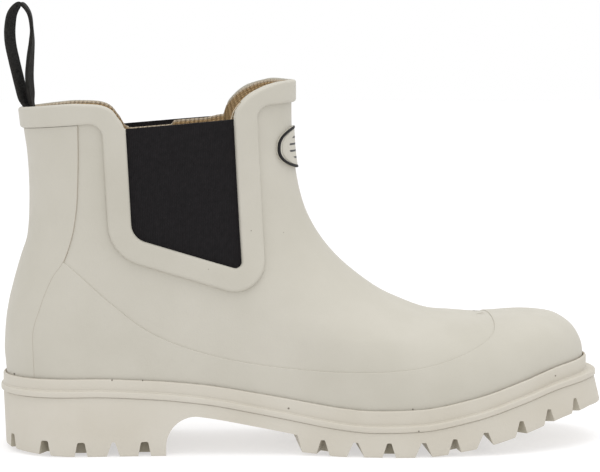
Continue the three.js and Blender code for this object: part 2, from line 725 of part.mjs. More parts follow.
// The block under the tray, with its arch, its side cuts and its tread grooves
function outsole() {
  const top = (x) => foxingFoot(x) - CLEARANCE;
  const lifted = (rise) => (x) => underside(x) + rise;
  const upperEdge = { heel: foxingOut, side: ridgeOut.side - SIDE_TUCK, toe: ridgeOut.toe - SIDE_TUCK };
  const lowerEdge = { heel: foxingOut - HEEL_TUCK, side: ridgeOut.side, toe: ridgeOut.toe + TOE_BUMPER };
  let body = ringSolid([
    soleRing(grow(lowerEdge, -SOLE_BEVEL), lifted(0)),
    soleRing(lowerEdge, lifted(SOLE_BEVEL)),
    soleRing(upperEdge, top),
  ]);
  body = body.subtract(archPrism());
  CUTS.forEach((cut) => {
    const channel = cut.kind === 'channel';
    const mouths = { channel: CHANNEL_MOUTH, notch: NOTCH_MOUTH, heel: HEEL_NOTCH_MOUTH };
    const inHeel = cut.at < BREAST;
    const mouth = inHeel && channel ? NOTCH_MOUTH : mouths[cut.kind];
    const depth = channel && !inHeel ? CHANNEL_DEPTH : NOTCH_DEPTH;
    const x = cut.at * FOOT_LENGTH;
    const floor = underside(x);
    if (channel) {
      const from = new THREE.Vector3(x, -SIDE_REACH, floor);
      const to = new THREE.Vector3(x, SIDE_REACH, floor);
      body = body.subtract(cutPrism(mouth, depth, from, to));
      return;
    }
    [-1, 1].forEach((side) => {
      const { point, outward } = soleEdge(cut.at, side);
      const from = point.clone().addScaledVector(outward, -NOTCH_REACH).setZ(floor);
      const to = point.clone().addScaledVector(outward, NOTCH_REACH).setZ(floor);
      body = body.subtract(cutPrism(mouth, depth, from, to));
    });
  });
  [HEEL_GROOVE, FOREPART_GROOVE].forEach((groove) => {
    const points = groove.map((at) => {
      const x = at * FOOT_LENGTH;
      return new THREE.Vector3(x, planMiddle(x), underside(x));
    });
    points.slice(1).forEach((to, i) => {
      body = body.subtract(cutPrism(GROOVE_WIDTH, GROOVE_DEPTH, points[i], to));
    });
  });
  return body;
}

// The space under the waist, from the heel's breast to the first forepart lug
function archPrism() {
  const breast = BREAST * FOOT_LENGTH;
  const forepart = FOREPART_START * FOOT_LENGTH;
  const roof = (x) => foxingFoot(x) - WAIST_THICKNESS;
  const points = [{ x: breast, z: -SIDE_REACH }];
  const steps = 6;
  const crown = breast + BREAST_RADIUS;
  for (let i = 0; i <= steps; i += 1) {
    const angle = (Math.PI / 2) * (i / steps);
    points.push({
      x: crown - BREAST_RADIUS * Math.cos(angle),
      z: roof(crown) - BREAST_RADIUS * (1 - Math.sin(angle)),
    });
  }
  for (let i = 1; i <= steps; i += 1) {
    const x = mix(crown, forepart, i / steps);
    points.push({ x, z: roof(x) });
  }
  points.push({ x: forepart + LUG_SLANT, z: 0 }, { x: forepart + LUG_SLANT, z: -SIDE_REACH });
  return sidePrism(points);
}

function insole() {
  const edge = even(-WALL - 2 * CLEARANCE);
  const lift = (rise) => (x) => trayFloor(x) + CLEARANCE + rise;
  return ringSolid([
    soleRing(edge, lift(0)),
    soleRing(edge, lift(INSOLE - INSOLE_BEVEL)),
    soleRing(grow(edge, -INSOLE_BEVEL), lift(INSOLE)),
  ]);
}

function upper() {
  return form(0)
    .add(form(RAND).intersect(randPrism()))
    .add(form(HEEL_STRIP).intersect(stripPrism()).subtract(bandPrism(CLEARANCE)))
    .subtract(form(-WALL))
    .subtract(belowFloor())
    .subtract(windowPrism(LAP))
    .subtract(aboveCollar(CLEARANCE));
}

function collarBand() {
  return form(CLEARANCE + BAND)
    .subtract(form(CLEARANCE))
    .intersect(bandPrism(0))
    .subtract(windowPrism(0))
    .subtract(aboveCollar(0));
}

function gores() {
  const panel = form(0)
    .subtract(form(-ELASTIC))
    .intersect(windowPrism(LAP - CLEARANCE))
    .subtract(aboveCollar(0));
  return panel.decompose();
}

// Webbing swept along a path, its width turned by an angle at each point
function ribbon(rows) {
  const path = new THREE.CatmullRomCurve3(rows.map((row) => new THREE.Vector3(row.x, row.y, row.z)));
  const angleAt = column(rows, 'turn', null);
  const steps = 36;
  const corners = [[-1, -1], [1, -1], [1, 1], [-1, 1]];
  const rings = Array.from({ length: steps + 1 }, (_, i) => {
    const t = i / steps;
    const at = path.getPoint(t);
    const along = path.getTangent(t);
    const angle = THREE.MathUtils.degToRad(angleAt(t * (rows.length - 1)));
    const wide = new THREE.Vector3(Math.sin(angle), Math.cos(angle), 0);
    wide.addScaledVector(along, -wide.dot(along)).normalize();
    const thick = along.clone().cross(wide);
    return corners.map(([a, b]) => (
      at.clone().addScaledVector(wide, (a * WEBBING_WIDTH) / 2).addScaledVector(thick, (b * WEBBING) / 2)
    ));
  });
  return ringSolid(rings);
}

// The loop stands on the back of the collar, both ends sewn inside
const backLine = column(SECTION_ENDS, 'back', 'up');

function pullLoop() {
  const rim = collarBack.z;
  const bow = WEBBING_WIDTH ** 2 / (1.4 * SHAFT_WIDTH);
  const seat = (z) => (
    HEEL_CURVE * backLine((z - foxingTop(0)) / BACK_HEIGHT) + WALL + 2 * CLEARANCE + bow + WEBBING / 2
  );
  const beside = WEBBING + CLEARANCE;
  const tail = (drop, step) => ({ x: seat(rim - drop) + step, y: 0, z: rim - drop, turn: 0 });
  const standing = LOOP.map((row) => ({
    x: seat(rim) + row.out * LOOP_SPREAD,
    y: 0,
    z: rim + row.up * (LOOP_HEIGHT - WEBBING / 2),
    turn: row.turn,
  }));
  return ribbon([
    tail(LOOP_TAIL, 0),
    tail(LOOP_TAIL * 0.4, 0),
    ...standing,
    tail(LOOP_TAIL * 0.4, beside),
    tail(LOOP_TAIL, beside),
  ]);
}

// An oval through the front of the shaft, seen from the toe
function ovalPrism(width, height) {
  const shape = new THREE.Shape();
  shape.absellipse(0, 0, width / 2, height / 2, 0, 2 * Math.PI);
  const settings = { depth: SIDE_REACH, bevelEnabled: false, curveSegments: 16 };
  const geometry = new THREE.ExtrudeGeometry(shape, settings);
  const [y, z, x] = [new THREE.Vector3(0, 1, 0), new THREE.Vector3(0, 0, 1), new THREE.Vector3(1, 0, 0)];
  const centre = new THREE.Vector3(collarX(0.5), 0, collarFront.z - BADGE_DROP);
  geometry.applyMatrix4(new THREE.Matrix4().makeBasis(y, z, x).setPosition(centre));
  return solid(geometry);
}

function badgeRim() {
  return form(CLEARANCE + BADGE + BADGE_RIM / 4)
    .subtract(form(CLEARANCE))
    .intersect(ovalPrism(BADGE_WIDTH, BADGE_HEIGHT))
    .subtract(ovalPrism(BADGE_WIDTH - 2 * BADGE_RIM, BADGE_HEIGHT - 2 * BADGE_RIM));
}

function badgePlate() {
  const gap = BADGE_RIM + CLEARANCE;
  return form(CLEARANCE + BADGE)
    .subtract(form(CLEARANCE))
    .intersect(ovalPrism(BADGE_WIDTH - 2 * gap, BADGE_HEIGHT - 2 * gap));
}

// One named mesh from a solid
function piece(name, body, color, roughness) {
  const { vertProperties, triVerts } = body.getMesh();
  const geometry = new THREE.BufferGeometry();
  geometry.setAttribute('position', new THREE.Float32BufferAttribute(vertProperties, 3));
  geometry.setIndex(Array.from(triVerts));
  const material = new THREE.MeshStandardMaterial({ color, roughness, metalness: 0 });
  const mesh = new THREE.Mesh(geometry, material);
  mesh.name = name;
  return mesh;
}

const [goreA, goreB] = gores();
const isOuter = (body) => body.boundingBox().min[1] < -body.boundingBox().max[1];
const [goreOuter, goreInner] = isOuter(goreA) ? [goreA, goreB] : [goreB, goreA];

const boot = new THREE.Group();
boot.add(
  piece('outsole', outsole(), COLOURS.sole, 0.7),
  piece('midsole', midsole(), COLOURS.sole, 0.65),
  piece('insole', insole(), COLOURS.insole, 0.95),
  piece('upper', upper(), COLOURS.rubber, 0.6),
  piece('collar_band', collarBand(), COLOURS.rubber, 0.6),
  piece('gore_outer', goreOuter, COLOURS.elastic, 0.95),
  piece('gore_inner', goreInner, COLOURS.elastic, 0.95),
  piece('pull_loop', pullLoop(), COLOURS.webbing, 0.95),
  piece('badge_rim', badgeRim(), COLOURS.ink, 0.5),
  piece('badge_plate', badgePlate(), COLOURS.rubber, 0.5),
);

// The origin lies on the floor under the middle of the boot
const box = new THREE.Box3().setFromObject(boot);
const middle = box.getCenter(new THREE.Vector3());
boot.position.set(-middle.x, -middle.y, -box.min.z);

const model = new THREE.Group();
model.add(boot);
export default model;
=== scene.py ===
"""Looks of an ankle-high rubber boot with elastic side panels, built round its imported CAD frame.

Metres, +Z up, +X from heel to toe, +Y to the inner side of the foot. The form is worked out
with the heel at x = 0 and is moved into the frame when a piece is laid.
"""
import math

import bpy
import numpy as np
from bpy.props import FloatProperty, FloatVectorProperty, PointerProperty
from bpy.types import Operator, Panel, PropertyGroup
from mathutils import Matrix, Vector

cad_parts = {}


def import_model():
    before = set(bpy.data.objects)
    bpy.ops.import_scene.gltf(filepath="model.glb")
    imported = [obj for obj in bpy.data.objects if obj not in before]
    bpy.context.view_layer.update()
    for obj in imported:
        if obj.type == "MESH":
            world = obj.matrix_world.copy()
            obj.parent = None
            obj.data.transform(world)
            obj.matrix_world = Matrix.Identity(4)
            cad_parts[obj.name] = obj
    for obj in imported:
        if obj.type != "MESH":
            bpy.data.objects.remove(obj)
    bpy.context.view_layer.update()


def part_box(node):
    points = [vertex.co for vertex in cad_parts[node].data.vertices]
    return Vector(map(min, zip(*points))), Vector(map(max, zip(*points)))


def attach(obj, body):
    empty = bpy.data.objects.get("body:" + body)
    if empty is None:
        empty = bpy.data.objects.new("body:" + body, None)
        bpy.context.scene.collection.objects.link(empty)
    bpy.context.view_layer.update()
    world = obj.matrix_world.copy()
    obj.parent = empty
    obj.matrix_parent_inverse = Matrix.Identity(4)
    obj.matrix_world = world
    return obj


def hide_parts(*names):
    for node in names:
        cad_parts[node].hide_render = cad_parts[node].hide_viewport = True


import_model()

bl_info = {
    "name": "Rubber boot",
    "version": (1, 0, 0),
    "blender": (4, 5, 0),
    "location": "View3D > Sidebar > Boot",
    "description": "Models and finishes an ankle-high rubber boot with elastic side panels",
    "category": "Object",
}

# Foxing line along the foot: its foot and top rise with the heel and the toe
SOLE_LINE = {
    "at": (0, 0.14, 0.24, 0.33, 0.42, 0.52, 0.56, 0.61, 0.69, 0.78, 0.87, 0.94, 1),
    "heel": (1, 1, 0.925, 0.77, 0.49, 0.17, 0.07, 0, 0, 0, 0, 0, 0),
    "toe": (0, 0, 0, 0, 0, 0, 0, 0, 0.03, 0.25, 0.61, 0.89, 1),
    "under": (0, 0, 0, 0, 0.13, 0.05, 0, 0, 0, 0.15, 0.46, 0.76, 0.93),
    "foxing": (0.93, 0.93, 0.94, 0.96, 0.98, 1, 1, 1, 1, 1, 1, 1, 1),
}

# Outline of the foot from above: half widths and the shift of the middle line
PLAN = {
    "at": (0, 0.14, 0.27, 0.38, 0.47, 0.56, 0.64, 0.72, 0.8, 0.9, 1),
    "heel": (0.5, 0.5, 0.3, 0, 0, 0, 0, 0, 0, 0, 0),
    "waist": (0, 0, 0.2, 0.5, 0.37, 0.14, 0, 0, 0, 0, 0),
    "ball": (0, 0, 0, 0, 0.1, 0.32, 0.475, 0.51, 0.52, 0.5, 0.475),
    "middle": (0, 0, -0.005, -0.018, -0.033, -0.042, -0.03, 0, 0.027, 0.045, 0.055),
}

# Sections of the upper from the feather edge to the collar
SECTIONS = {
    "up": (0, 0.044, 0.084, 0.12, 0.155, 0.2, 0.26, 0.342,
           0.43, 0.51, 0.589, 0.669, 0.748, 0.828, 0.902, 1),
    "back": (0, -0.04, -0.07, -0.05, -0.03, 0.02, 0.13, 0.35,
             0.63, 0.9, 0.98, 1, 0.98, 0.92, 0.81, 0.69),
    "foot": (1, 0.998, 0.991, 0.976, 0.944, 0.895, 0.831, 0.752,
             0.61, 0.455, 0.313, 0.19, 0.103, 0.055, 0.033, 0.03),
    "leg": (0, 0, 0, 0, 0, 0, 0, 0, 0.12, 0.3, 0.5, 0.7, 0.86, 0.952, 0.996, 1.002),
    "toe": (0, 0.22, 0.45, 0.71, 0.93, 0.985, 0.945, 1, 1, 1, 1, 1, 1, 1, 1, 1),
    "front": (0, 0, 0, 0, 0, 0, 0, 0.007,
              0.075, 0.193, 0.324, 0.47, 0.614, 0.736, 0.849, 1),
    "sag": (1, 0.95, 0.88, 0.8, 0.7, 0.55, 0.4, 0.25, 0.12, 0.04, 0, 0, 0, 0, 0, 0),
    "shaft": (0, 0, 0, 0, 0.02, 0.05, 0.12, 0.26, 0.47, 0.7, 0.88, 1, 1, 1, 1, 1),
    "girth": (0.86, 0.86, 0.86, 0.86, 0.86, 0.85, 0.84, 0.83,
              0.83, 0.84, 0.86, 0.89, 0.92, 0.95, 0.975, 1),
    "round": (0.33, 0.33, 0.33, 0.33, 0.33, 0.33, 0.34, 0.36,
              0.4, 0.48, 0.53, 0.53, 0.51, 0.49, 0.47, 0.46),
    "full": (2.4, 2.4, 2.4, 2.4, 2.4, 2.35, 2.3, 2.2, 2.15, 2.1, 2.05, 2, 2, 2, 2, 2),
}
TOP = 15

# Rounding of the plan at heel, shaft and toe: depth of the end and its fullness
HEEL_ROUND = 0.53
SHAFT_BACK_ROUND = 0.41
TOE_ROUND = 0.25
TOE_FULLNESS = 2.2
END_FULLNESS = 2.1

# Collar edge below the straight line from back to front
COLLAR_LINE = {
    "along": (-0.2, 0, 0.17, 0.24, 0.28, 0.31, 0.333, 0.351, 0.366, 0.378,
              0.768, 0.778, 0.8, 0.832, 0.868, 0.91, 0.96, 1.2),
    "drop": (0.09, 0.08, 0.06, 0.11, 0.16, 0.25, 0.39, 0.6, 0.78, 1,
             1, 0.72, 0.48, 0.25, 0.1, -0.01, -0.07, -0.07),
}

# Corners of the elastic's window: along the shaft, down from its chord, radius
WINDOW = ((0.376, 0.05, 0), (0.401, 0.795, 0.009), (0.803, 1.038, 0.003), (0.768, 0.05, 0))

# Front edge of the heel strip, from the sole up
STRIP_EDGE = {
    "up": (-0.2, 0.056, 0.143, 0.255, 0.363, 0.43, 0.554, 0.66, 0.844, 1.1),
    "along": (0.12, 0.105, 0.103, 0.132, 0.176, 0.22, 0.257, 0.269, 0.274, 0.27),
}

# Upper edge of the rand, which ends in the toe cap: along the foot, rise
RAND_EDGE = (
    (0.03, 3.1), (0.102, 2.5), (0.173, 1.67), (0.238, 1.05), (0.32, 0.69), (0.43, 0.62),
    (0.57, 0.8), (0.71, 0.91), (0.8, 1.08), (0.828, 1.25), (0.834, 1.62), (0.82, 2.4),
)

# Side cuts of the sole along the foot; a channel runs right across
CUTS = (
    (0.004, "heel"), (0.063, "heel"), (0.125, "heel"), (0.179, "channel"), (0.231, "heel"),
    (0.528, "notch"), (0.582, "channel"), (0.637, "notch"), (0.695, "channel"),
    (0.748, "notch"), (0.801, "channel"), (0.864, "notch"), (0.915, "notch"), (0.966, "notch"),
)
HEEL_GROOVE = (0.055, 0.3)
FOREPART_GROOVE = (0.45, 0.582, 0.695, 0.801, 0.94)
BREAST = 0.267
FOREPART_START = 0.487
# Width of a cut's root as a share of its mouth
CUT_ROOT = {"heel": 0.6, "notch": 0.35, "channel": 0.3, "groove": 0.3}

# Pull loop from one strand over the top to the other: out, up, turn in degrees
LOOP = (
    (-0.27, 0.015, 19), (-0.36, 0.06, 23), (-0.45, 0.15, 26), (-0.57, 0.27, 27), (-0.74, 0.44, 27),
    (-0.89, 0.62, 27), (-0.9, 0.77, 26), (-0.76, 0.92, 22), (-0.42, 1, 12),
    (-0.09, 0.92, 4), (0.04, 0.76, 0), (0.04, 0.63, 7), (-0.03, 0.46, 14),
    (-0.08, 0.27, 17), (-0.03, 0.12, 15), (0.02, 0, 6),
)

# Dark specks on the outer side: x, z and radius
SPECKS = (
    (-0.1381, 0.0366, 0.0005), (-0.0924, 0.0356, 0.0004), (-0.0782, 0.0352, 0.0003),
    (-0.0105, 0.0218, 0.0005), (0.0465, 0.0222, 0.0004), (0.0488, 0.0125, 0.0004),
    (0.1167, 0.0346, 0.0004), (0.1392, 0.0351, 0.0005), (-0.0273, 0.1044, 0.00025),
    (-0.0115, 0.1027, 0.00018), (-0.0475, 0.087, 0.0002),
)

# Pitch of threads, ribs and bars
CLOTH_PITCH = 0.0011
TAPE_PITCH = (0.0008, 0.0012)
RIB_PITCH, WEFT_PITCH = 0.00085, 0.0006
BAR_PITCH = 0.0032

# Sink or gap that keeps two faces from lying in one plane
HAIR = 0.00005
# Section below the feather edge where strip and rand start, hidden in the tray
HIDDEN_START = -0.3

# Studio: lamps as place, aim, size and power, then the camera of the photo
LAMPS = {
    "overhead": ((0.1, -0.25, 1.5), (0, 0, 0.05), (1.2, 1.0), 8),
    "front_fill": ((-0.3, -1.6, 0.7), (0, 0, 0.08), (1.2, 0.8), 1),
}
CAMERA_PLACE = (-0.0933, -1.0460, 0.192)
CAMERA_DOWN, CAMERA_TURN = 5.0607, -5
CAMERA_LENS, CAMERA_SENSOR = 131.52, 36
FLOOR_SIZE, FLOOR_GLOW = 12, 0.52


def millimetres(name, description, default):
    return FloatProperty(
        name=name, description=description, default=default / 1000,
        min=0, unit="LENGTH", precision=5,
    )


def linear(channels):
    """Display colour from 0 to 255 as the linear colour that shaders take."""
    parts = np.array(channels, float) / 255
    return tuple(np.where(parts <= 0.04045, parts / 12.92, ((parts + 0.055) / 1.055) ** 2.4))


def colour(name, description, channels):
    return FloatVectorProperty(
        name=name, description=description, default=linear(channels),
        size=3, min=0, max=1, subtype="COLOR",
    )


class UpperSizes(PropertyGroup):
    foot_length: millimetres("Foot length", "Length of the foot's outline", 277.7)
    ball_width: millimetres("Ball width", "Width of the foot at the ball", 91)
    heel_width: millimetres("Heel width", "Width of the foot at the heel", 63)
    waist_width: millimetres("Waist width", "Width of the foot at its waist", 62)
    toe_depth: millimetres("Toe depth", "Height of the toe above the foxing", 21)
    front_height: millimetres("Front height", "Rise of the front from the toe to the collar", 111)
    back_height: millimetres("Back height", "Rise of the back from the foxing to the collar", 125.6)
    heel_curve: millimetres("Heel curve", "Forward lean of the back above the heel", 11.7)
    shaft_length: millimetres("Shaft length", "Length of the collar from back to front", 127)
    shaft_width: millimetres("Shaft width", "Width of the collar", 76)
    wall: millimetres("Wall", "Thickness of the upper with its lining", 2.2)
    lining: millimetres("Lining", "Thickness of the woven lining", 0.55)
    heel_strip: millimetres("Heel strip", "Thickness of the strip up the heel", 0.7)
    rand: millimetres("Rand", "Thickness of the rand and toe cap", 0.5)
    clearance: millimetres("Clearance", "Gap between neighbouring solids of the frame", 0.3)


class SoleSizes(PropertyGroup):
    forepart_height: millimetres("Forepart height", "Height of the sole under the ball", 11.4)
    heel_lift: millimetres("Heel lift", "Extra height of the sole at the heel", 16.4)
    toe_spring: millimetres("Toe spring", "Rise of the sole at the toe", 19.7)
    foxing_height: millimetres("Foxing height", "Height of the wall round the upper", 10)
    foxing_edge: millimetres("Foxing edge", "Thickness of that wall", 1.2)
    ridge_height: millimetres("Ridge height", "Height of the ridge at the wall's foot", 3)
    ridge_side: millimetres("Ridge at the sides", "Reach of the ridge at the sides", 2.2)
    ridge_end: millimetres("Ridge at the toe", "Reach of the ridge at the toe", 4.6)
    toe_bumper: millimetres("Toe bumper", "Extra reach of the tread at the toe", 2.2)
    heel_tuck: millimetres("Heel tuck", "How far the heel's foot stands back", 1)
    side_tuck: millimetres("Side tuck", "How far the sole's top stands back", 0.6)
    bevel: millimetres("Bevel", "Rounding of the sole's edges", 0.8)
    tray_floor: millimetres("Tray floor", "Thickness of the tray's floor", 3)
    lip_drop: millimetres("Lip drop", "How far the wall's lip dips at the heel", 1)
    heel_rocker: millimetres("Heel rocker", "Rise of the heel's back edge off the floor", 2)
    waist_thickness: millimetres("Waist", "Thickness of the outsole over the arch", 6.2)
    breast_radius: millimetres("Breast radius", "Rounding of the heel's breast", 14)
    lug_slant: millimetres("Lug slant", "Slant of the first forepart lug", 2.5)
    channel_depth: millimetres("Channel depth", "Depth of the channels across", 6.9)
    notch_depth: millimetres("Notch depth", "Height of the side notches", 6.8)
    notch_reach: millimetres("Notch reach", "Depth of the notches into the side", 11)
    groove_width: millimetres("Groove width", "Width of the tread's middle groove", 6)
    groove_depth: millimetres("Groove depth", "Depth of the tread's middle groove", 4.5)
    channel_mouth: millimetres("Channel mouth", "Width of a channel at the floor", 8.6)
    notch_mouth: millimetres("Notch mouth", "Width of a notch at the floor", 6.6)
    heel_notch_mouth: millimetres("Heel notch mouth", "Width of a heel notch at the floor", 6.2)
    insole: millimetres("Foot bed", "Thickness of the foot bed", 4)
    insole_bevel: millimetres("Foot bed bevel", "Rounding of the foot bed's edge", 1.5)


class TrimSizes(PropertyGroup):
    band_width: millimetres("Band width", "Width of the collar band", 11)
    band: millimetres("Band", "Thickness of the collar band", 1.9)
    band_front_rise: millimetres("Band rise", "Rise of the band's lower edge in front", 1.5)
    gore_dip: millimetres("Collar dip", "Dip of the collar over the elastic", 14.5)
    inner_rise: millimetres("Inner rise", "Extra height of the inner collar in front", 1.1)
    gore_depth: millimetres("Elastic depth", "Depth of the elastic's window", 82)
    lap: millimetres("Lap", "Overlap of band and elastic", 4)
    elastic: millimetres("Elastic", "Thickness of the elastic", 1.6)
    loop_height: millimetres("Loop height", "Height of the pull loop over the rim", 48)
    loop_spread: millimetres("Loop spread", "Reach of the pull loop backwards", 10.8)
    webbing_width: millimetres("Webbing width", "Width of the loop's tape", 9)
    webbing: millimetres("Webbing", "Thickness of the loop's tape", 1.6)
    loop_tail: millimetres("Loop tail", "Length of the tape sewn inside", 14)
    badge_width: millimetres("Badge width", "Width of the oval badge", 38)
    badge_height: millimetres("Badge height", "Height of the oval badge", 20)
    badge: millimetres("Badge", "Thickness of the badge", 1)
    badge_rim: millimetres("Badge rim", "Width of the badge's rim", 1)
    badge_drop: millimetres("Badge drop", "Depth of the badge below the collar", 30.9)


class Finishes(PropertyGroup):
    rubber: colour("Rubber", "Off-white rubber of the upper", (190, 186, 175))
    rubber_shade: colour("Rubber shade", "Darker clouds in the upper's rubber", (182, 178, 166))
    sole: colour("Sole", "Off-white rubber of the sole", (197, 192, 181))
    sole_shade: colour("Sole shade", "Darker clouds in the sole's rubber", (190, 184, 171))
    # Darker, yellower rubber on the faces inside the sole's cuts: painted shade of the recesses
    cut: colour("Cuts", "Rubber inside the sole's cuts", (176, 170, 152))
    glue: colour("Glue line", "Brown line where the upper meets the foxing", (136, 118, 94))
    dirt: colour("Dirt", "Small specks of dirt", (70, 58, 44))
    cloth: colour("Cloth", "Light threads of the lining", (186, 159, 119))
    # Colour of the lining's dark threads, also used as painted shade in the hollows of the weave
    cloth_dark_and_hollow_shade: colour("Cloth shade", "Dark threads of the lining", (140, 112, 77))
    selvedge: colour("Selvedge", "Pale edge of the lining", (204, 190, 168))
    elastic: colour("Elastic", "Black elastic of the side panels", (13, 11, 13))
    # Lighter grey: painted sheen on the elastic's rib crests, and random grain in the badge ink
    elastic_sheen_and_grain: colour("Elastic shade", "Grey threads of the elastic", (31, 28, 30))
    webbing: colour("Webbing", "Dark tape of the pull loop", (24, 23, 21))
    # Lighter grey: painted sheen on the crowns of the tape's threads
    webbing_sheen: colour("Webbing shade", "Grey threads of the tape", (46, 44, 40))
    ink: colour("Ink", "Dark rim and bars of the badge", (24, 24, 23))
    floor: colour("Floor", "Plain pale floor", (188, 188, 188))


def smooth(low, high, value):
    t = np.clip((value - low) / (high - low), 0, 1)
    return t * t * (3 - 2 * t)


def rounded(depth, fullness):
    """Rounding of an end: 0 at the edge, 1 from the full depth on."""
    rest = 1 - np.clip(depth, 0, 1)
    return (1 - rest ** fullness) ** (1 / fullness)


def share_of(turn):
    """How far from back to front a turn lies."""
    return (1 - np.cos(2 * math.pi * np.asarray(turn, float))) / 2


def bisect(inside, low, high, rounds=44):
    """Where a test that holds at the low end stops holding."""
    for _ in range(rounds):
        middle = (low + high) / 2
        within = inside(middle)
        low, high = np.where(within, middle, low), np.where(within, high, middle)
    return (low + high) / 2


def unit(vectors):
    length = np.linalg.norm(vectors, axis=-1, keepdims=True)
    return vectors / np.maximum(length, 1e-12)


def curve(table, name, key=None):
    """A smooth curve through one column of a table, without overshoot."""
    y = np.array(table[name], float)
    x = np.array(table[key], float) if key else np.arange(len(y), dtype=float)
    rise = np.diff(y) / np.diff(x)
    same = rise[:-1] * rise[1:] > 0
    total = np.where(same, rise[:-1] + rise[1:], 1)
    inner = np.where(same, 2 * rise[:-1] * rise[1:] / total, 0)
    slope = np.concatenate([rise[:1], inner, rise[-1:]])

    def at(value):
        v = np.clip(value, x[0], x[-1])
        i = np.clip(np.searchsorted(x, v) - 1, 0, len(x) - 2)
        h = x[i + 1] - x[i]
        t = (v - x[i]) / h
        u = 1 - t
        return (y[i] * (1 + 2 * t) * u * u + slope[i] * h * t * u * u
                + y[i + 1] * t * t * (3 - 2 * t) - slope[i + 1] * h * t * t * u)
    return at


def resample(path, count):
    """Points at even steps along a path, without its last one."""
    along = np.concatenate([[0], np.cumsum(np.linalg.norm(np.diff(path, axis=0), axis=1))])
    at = np.linspace(0, along[-1], count, endpoint=False)
    return np.stack([np.interp(at, along, path[:, k]) for k in range(path.shape[1])], 1)


def corner_arc(before, at, after, radius, steps=12):
    """The arc that rounds one corner of an outline."""
    a, b = before - at, after - at
    room = 0.45 * min(np.linalg.norm(a), np.linalg.norm(b))
    a, b = unit(a), unit(b)
    half = math.acos(float(np.clip(a @ b, -1, 1))) / 2
    reach = min(radius / math.tan(half), room)
    radius = reach * math.tan(half)
    centre = at + unit(a + b) * radius / math.sin(half)
    start, end = at + a * reach - centre, at + b * reach - centre
    first = math.atan2(start[1], start[0])
    sweep = (math.atan2(end[1], end[0]) - first + math.pi) % (2 * math.pi) - math.pi
    angle = first + sweep * np.linspace(0, 1, steps + 1)
    return centre + radius * np.stack([np.cos(angle), np.sin(angle)], 1)


def quarter(steps=4):
    """Sines and cosines of a quarter circle."""
    angle = np.linspace(0, math.pi / 2, steps + 1)
    return list(zip(np.sin(angle), np.cos(angle)))


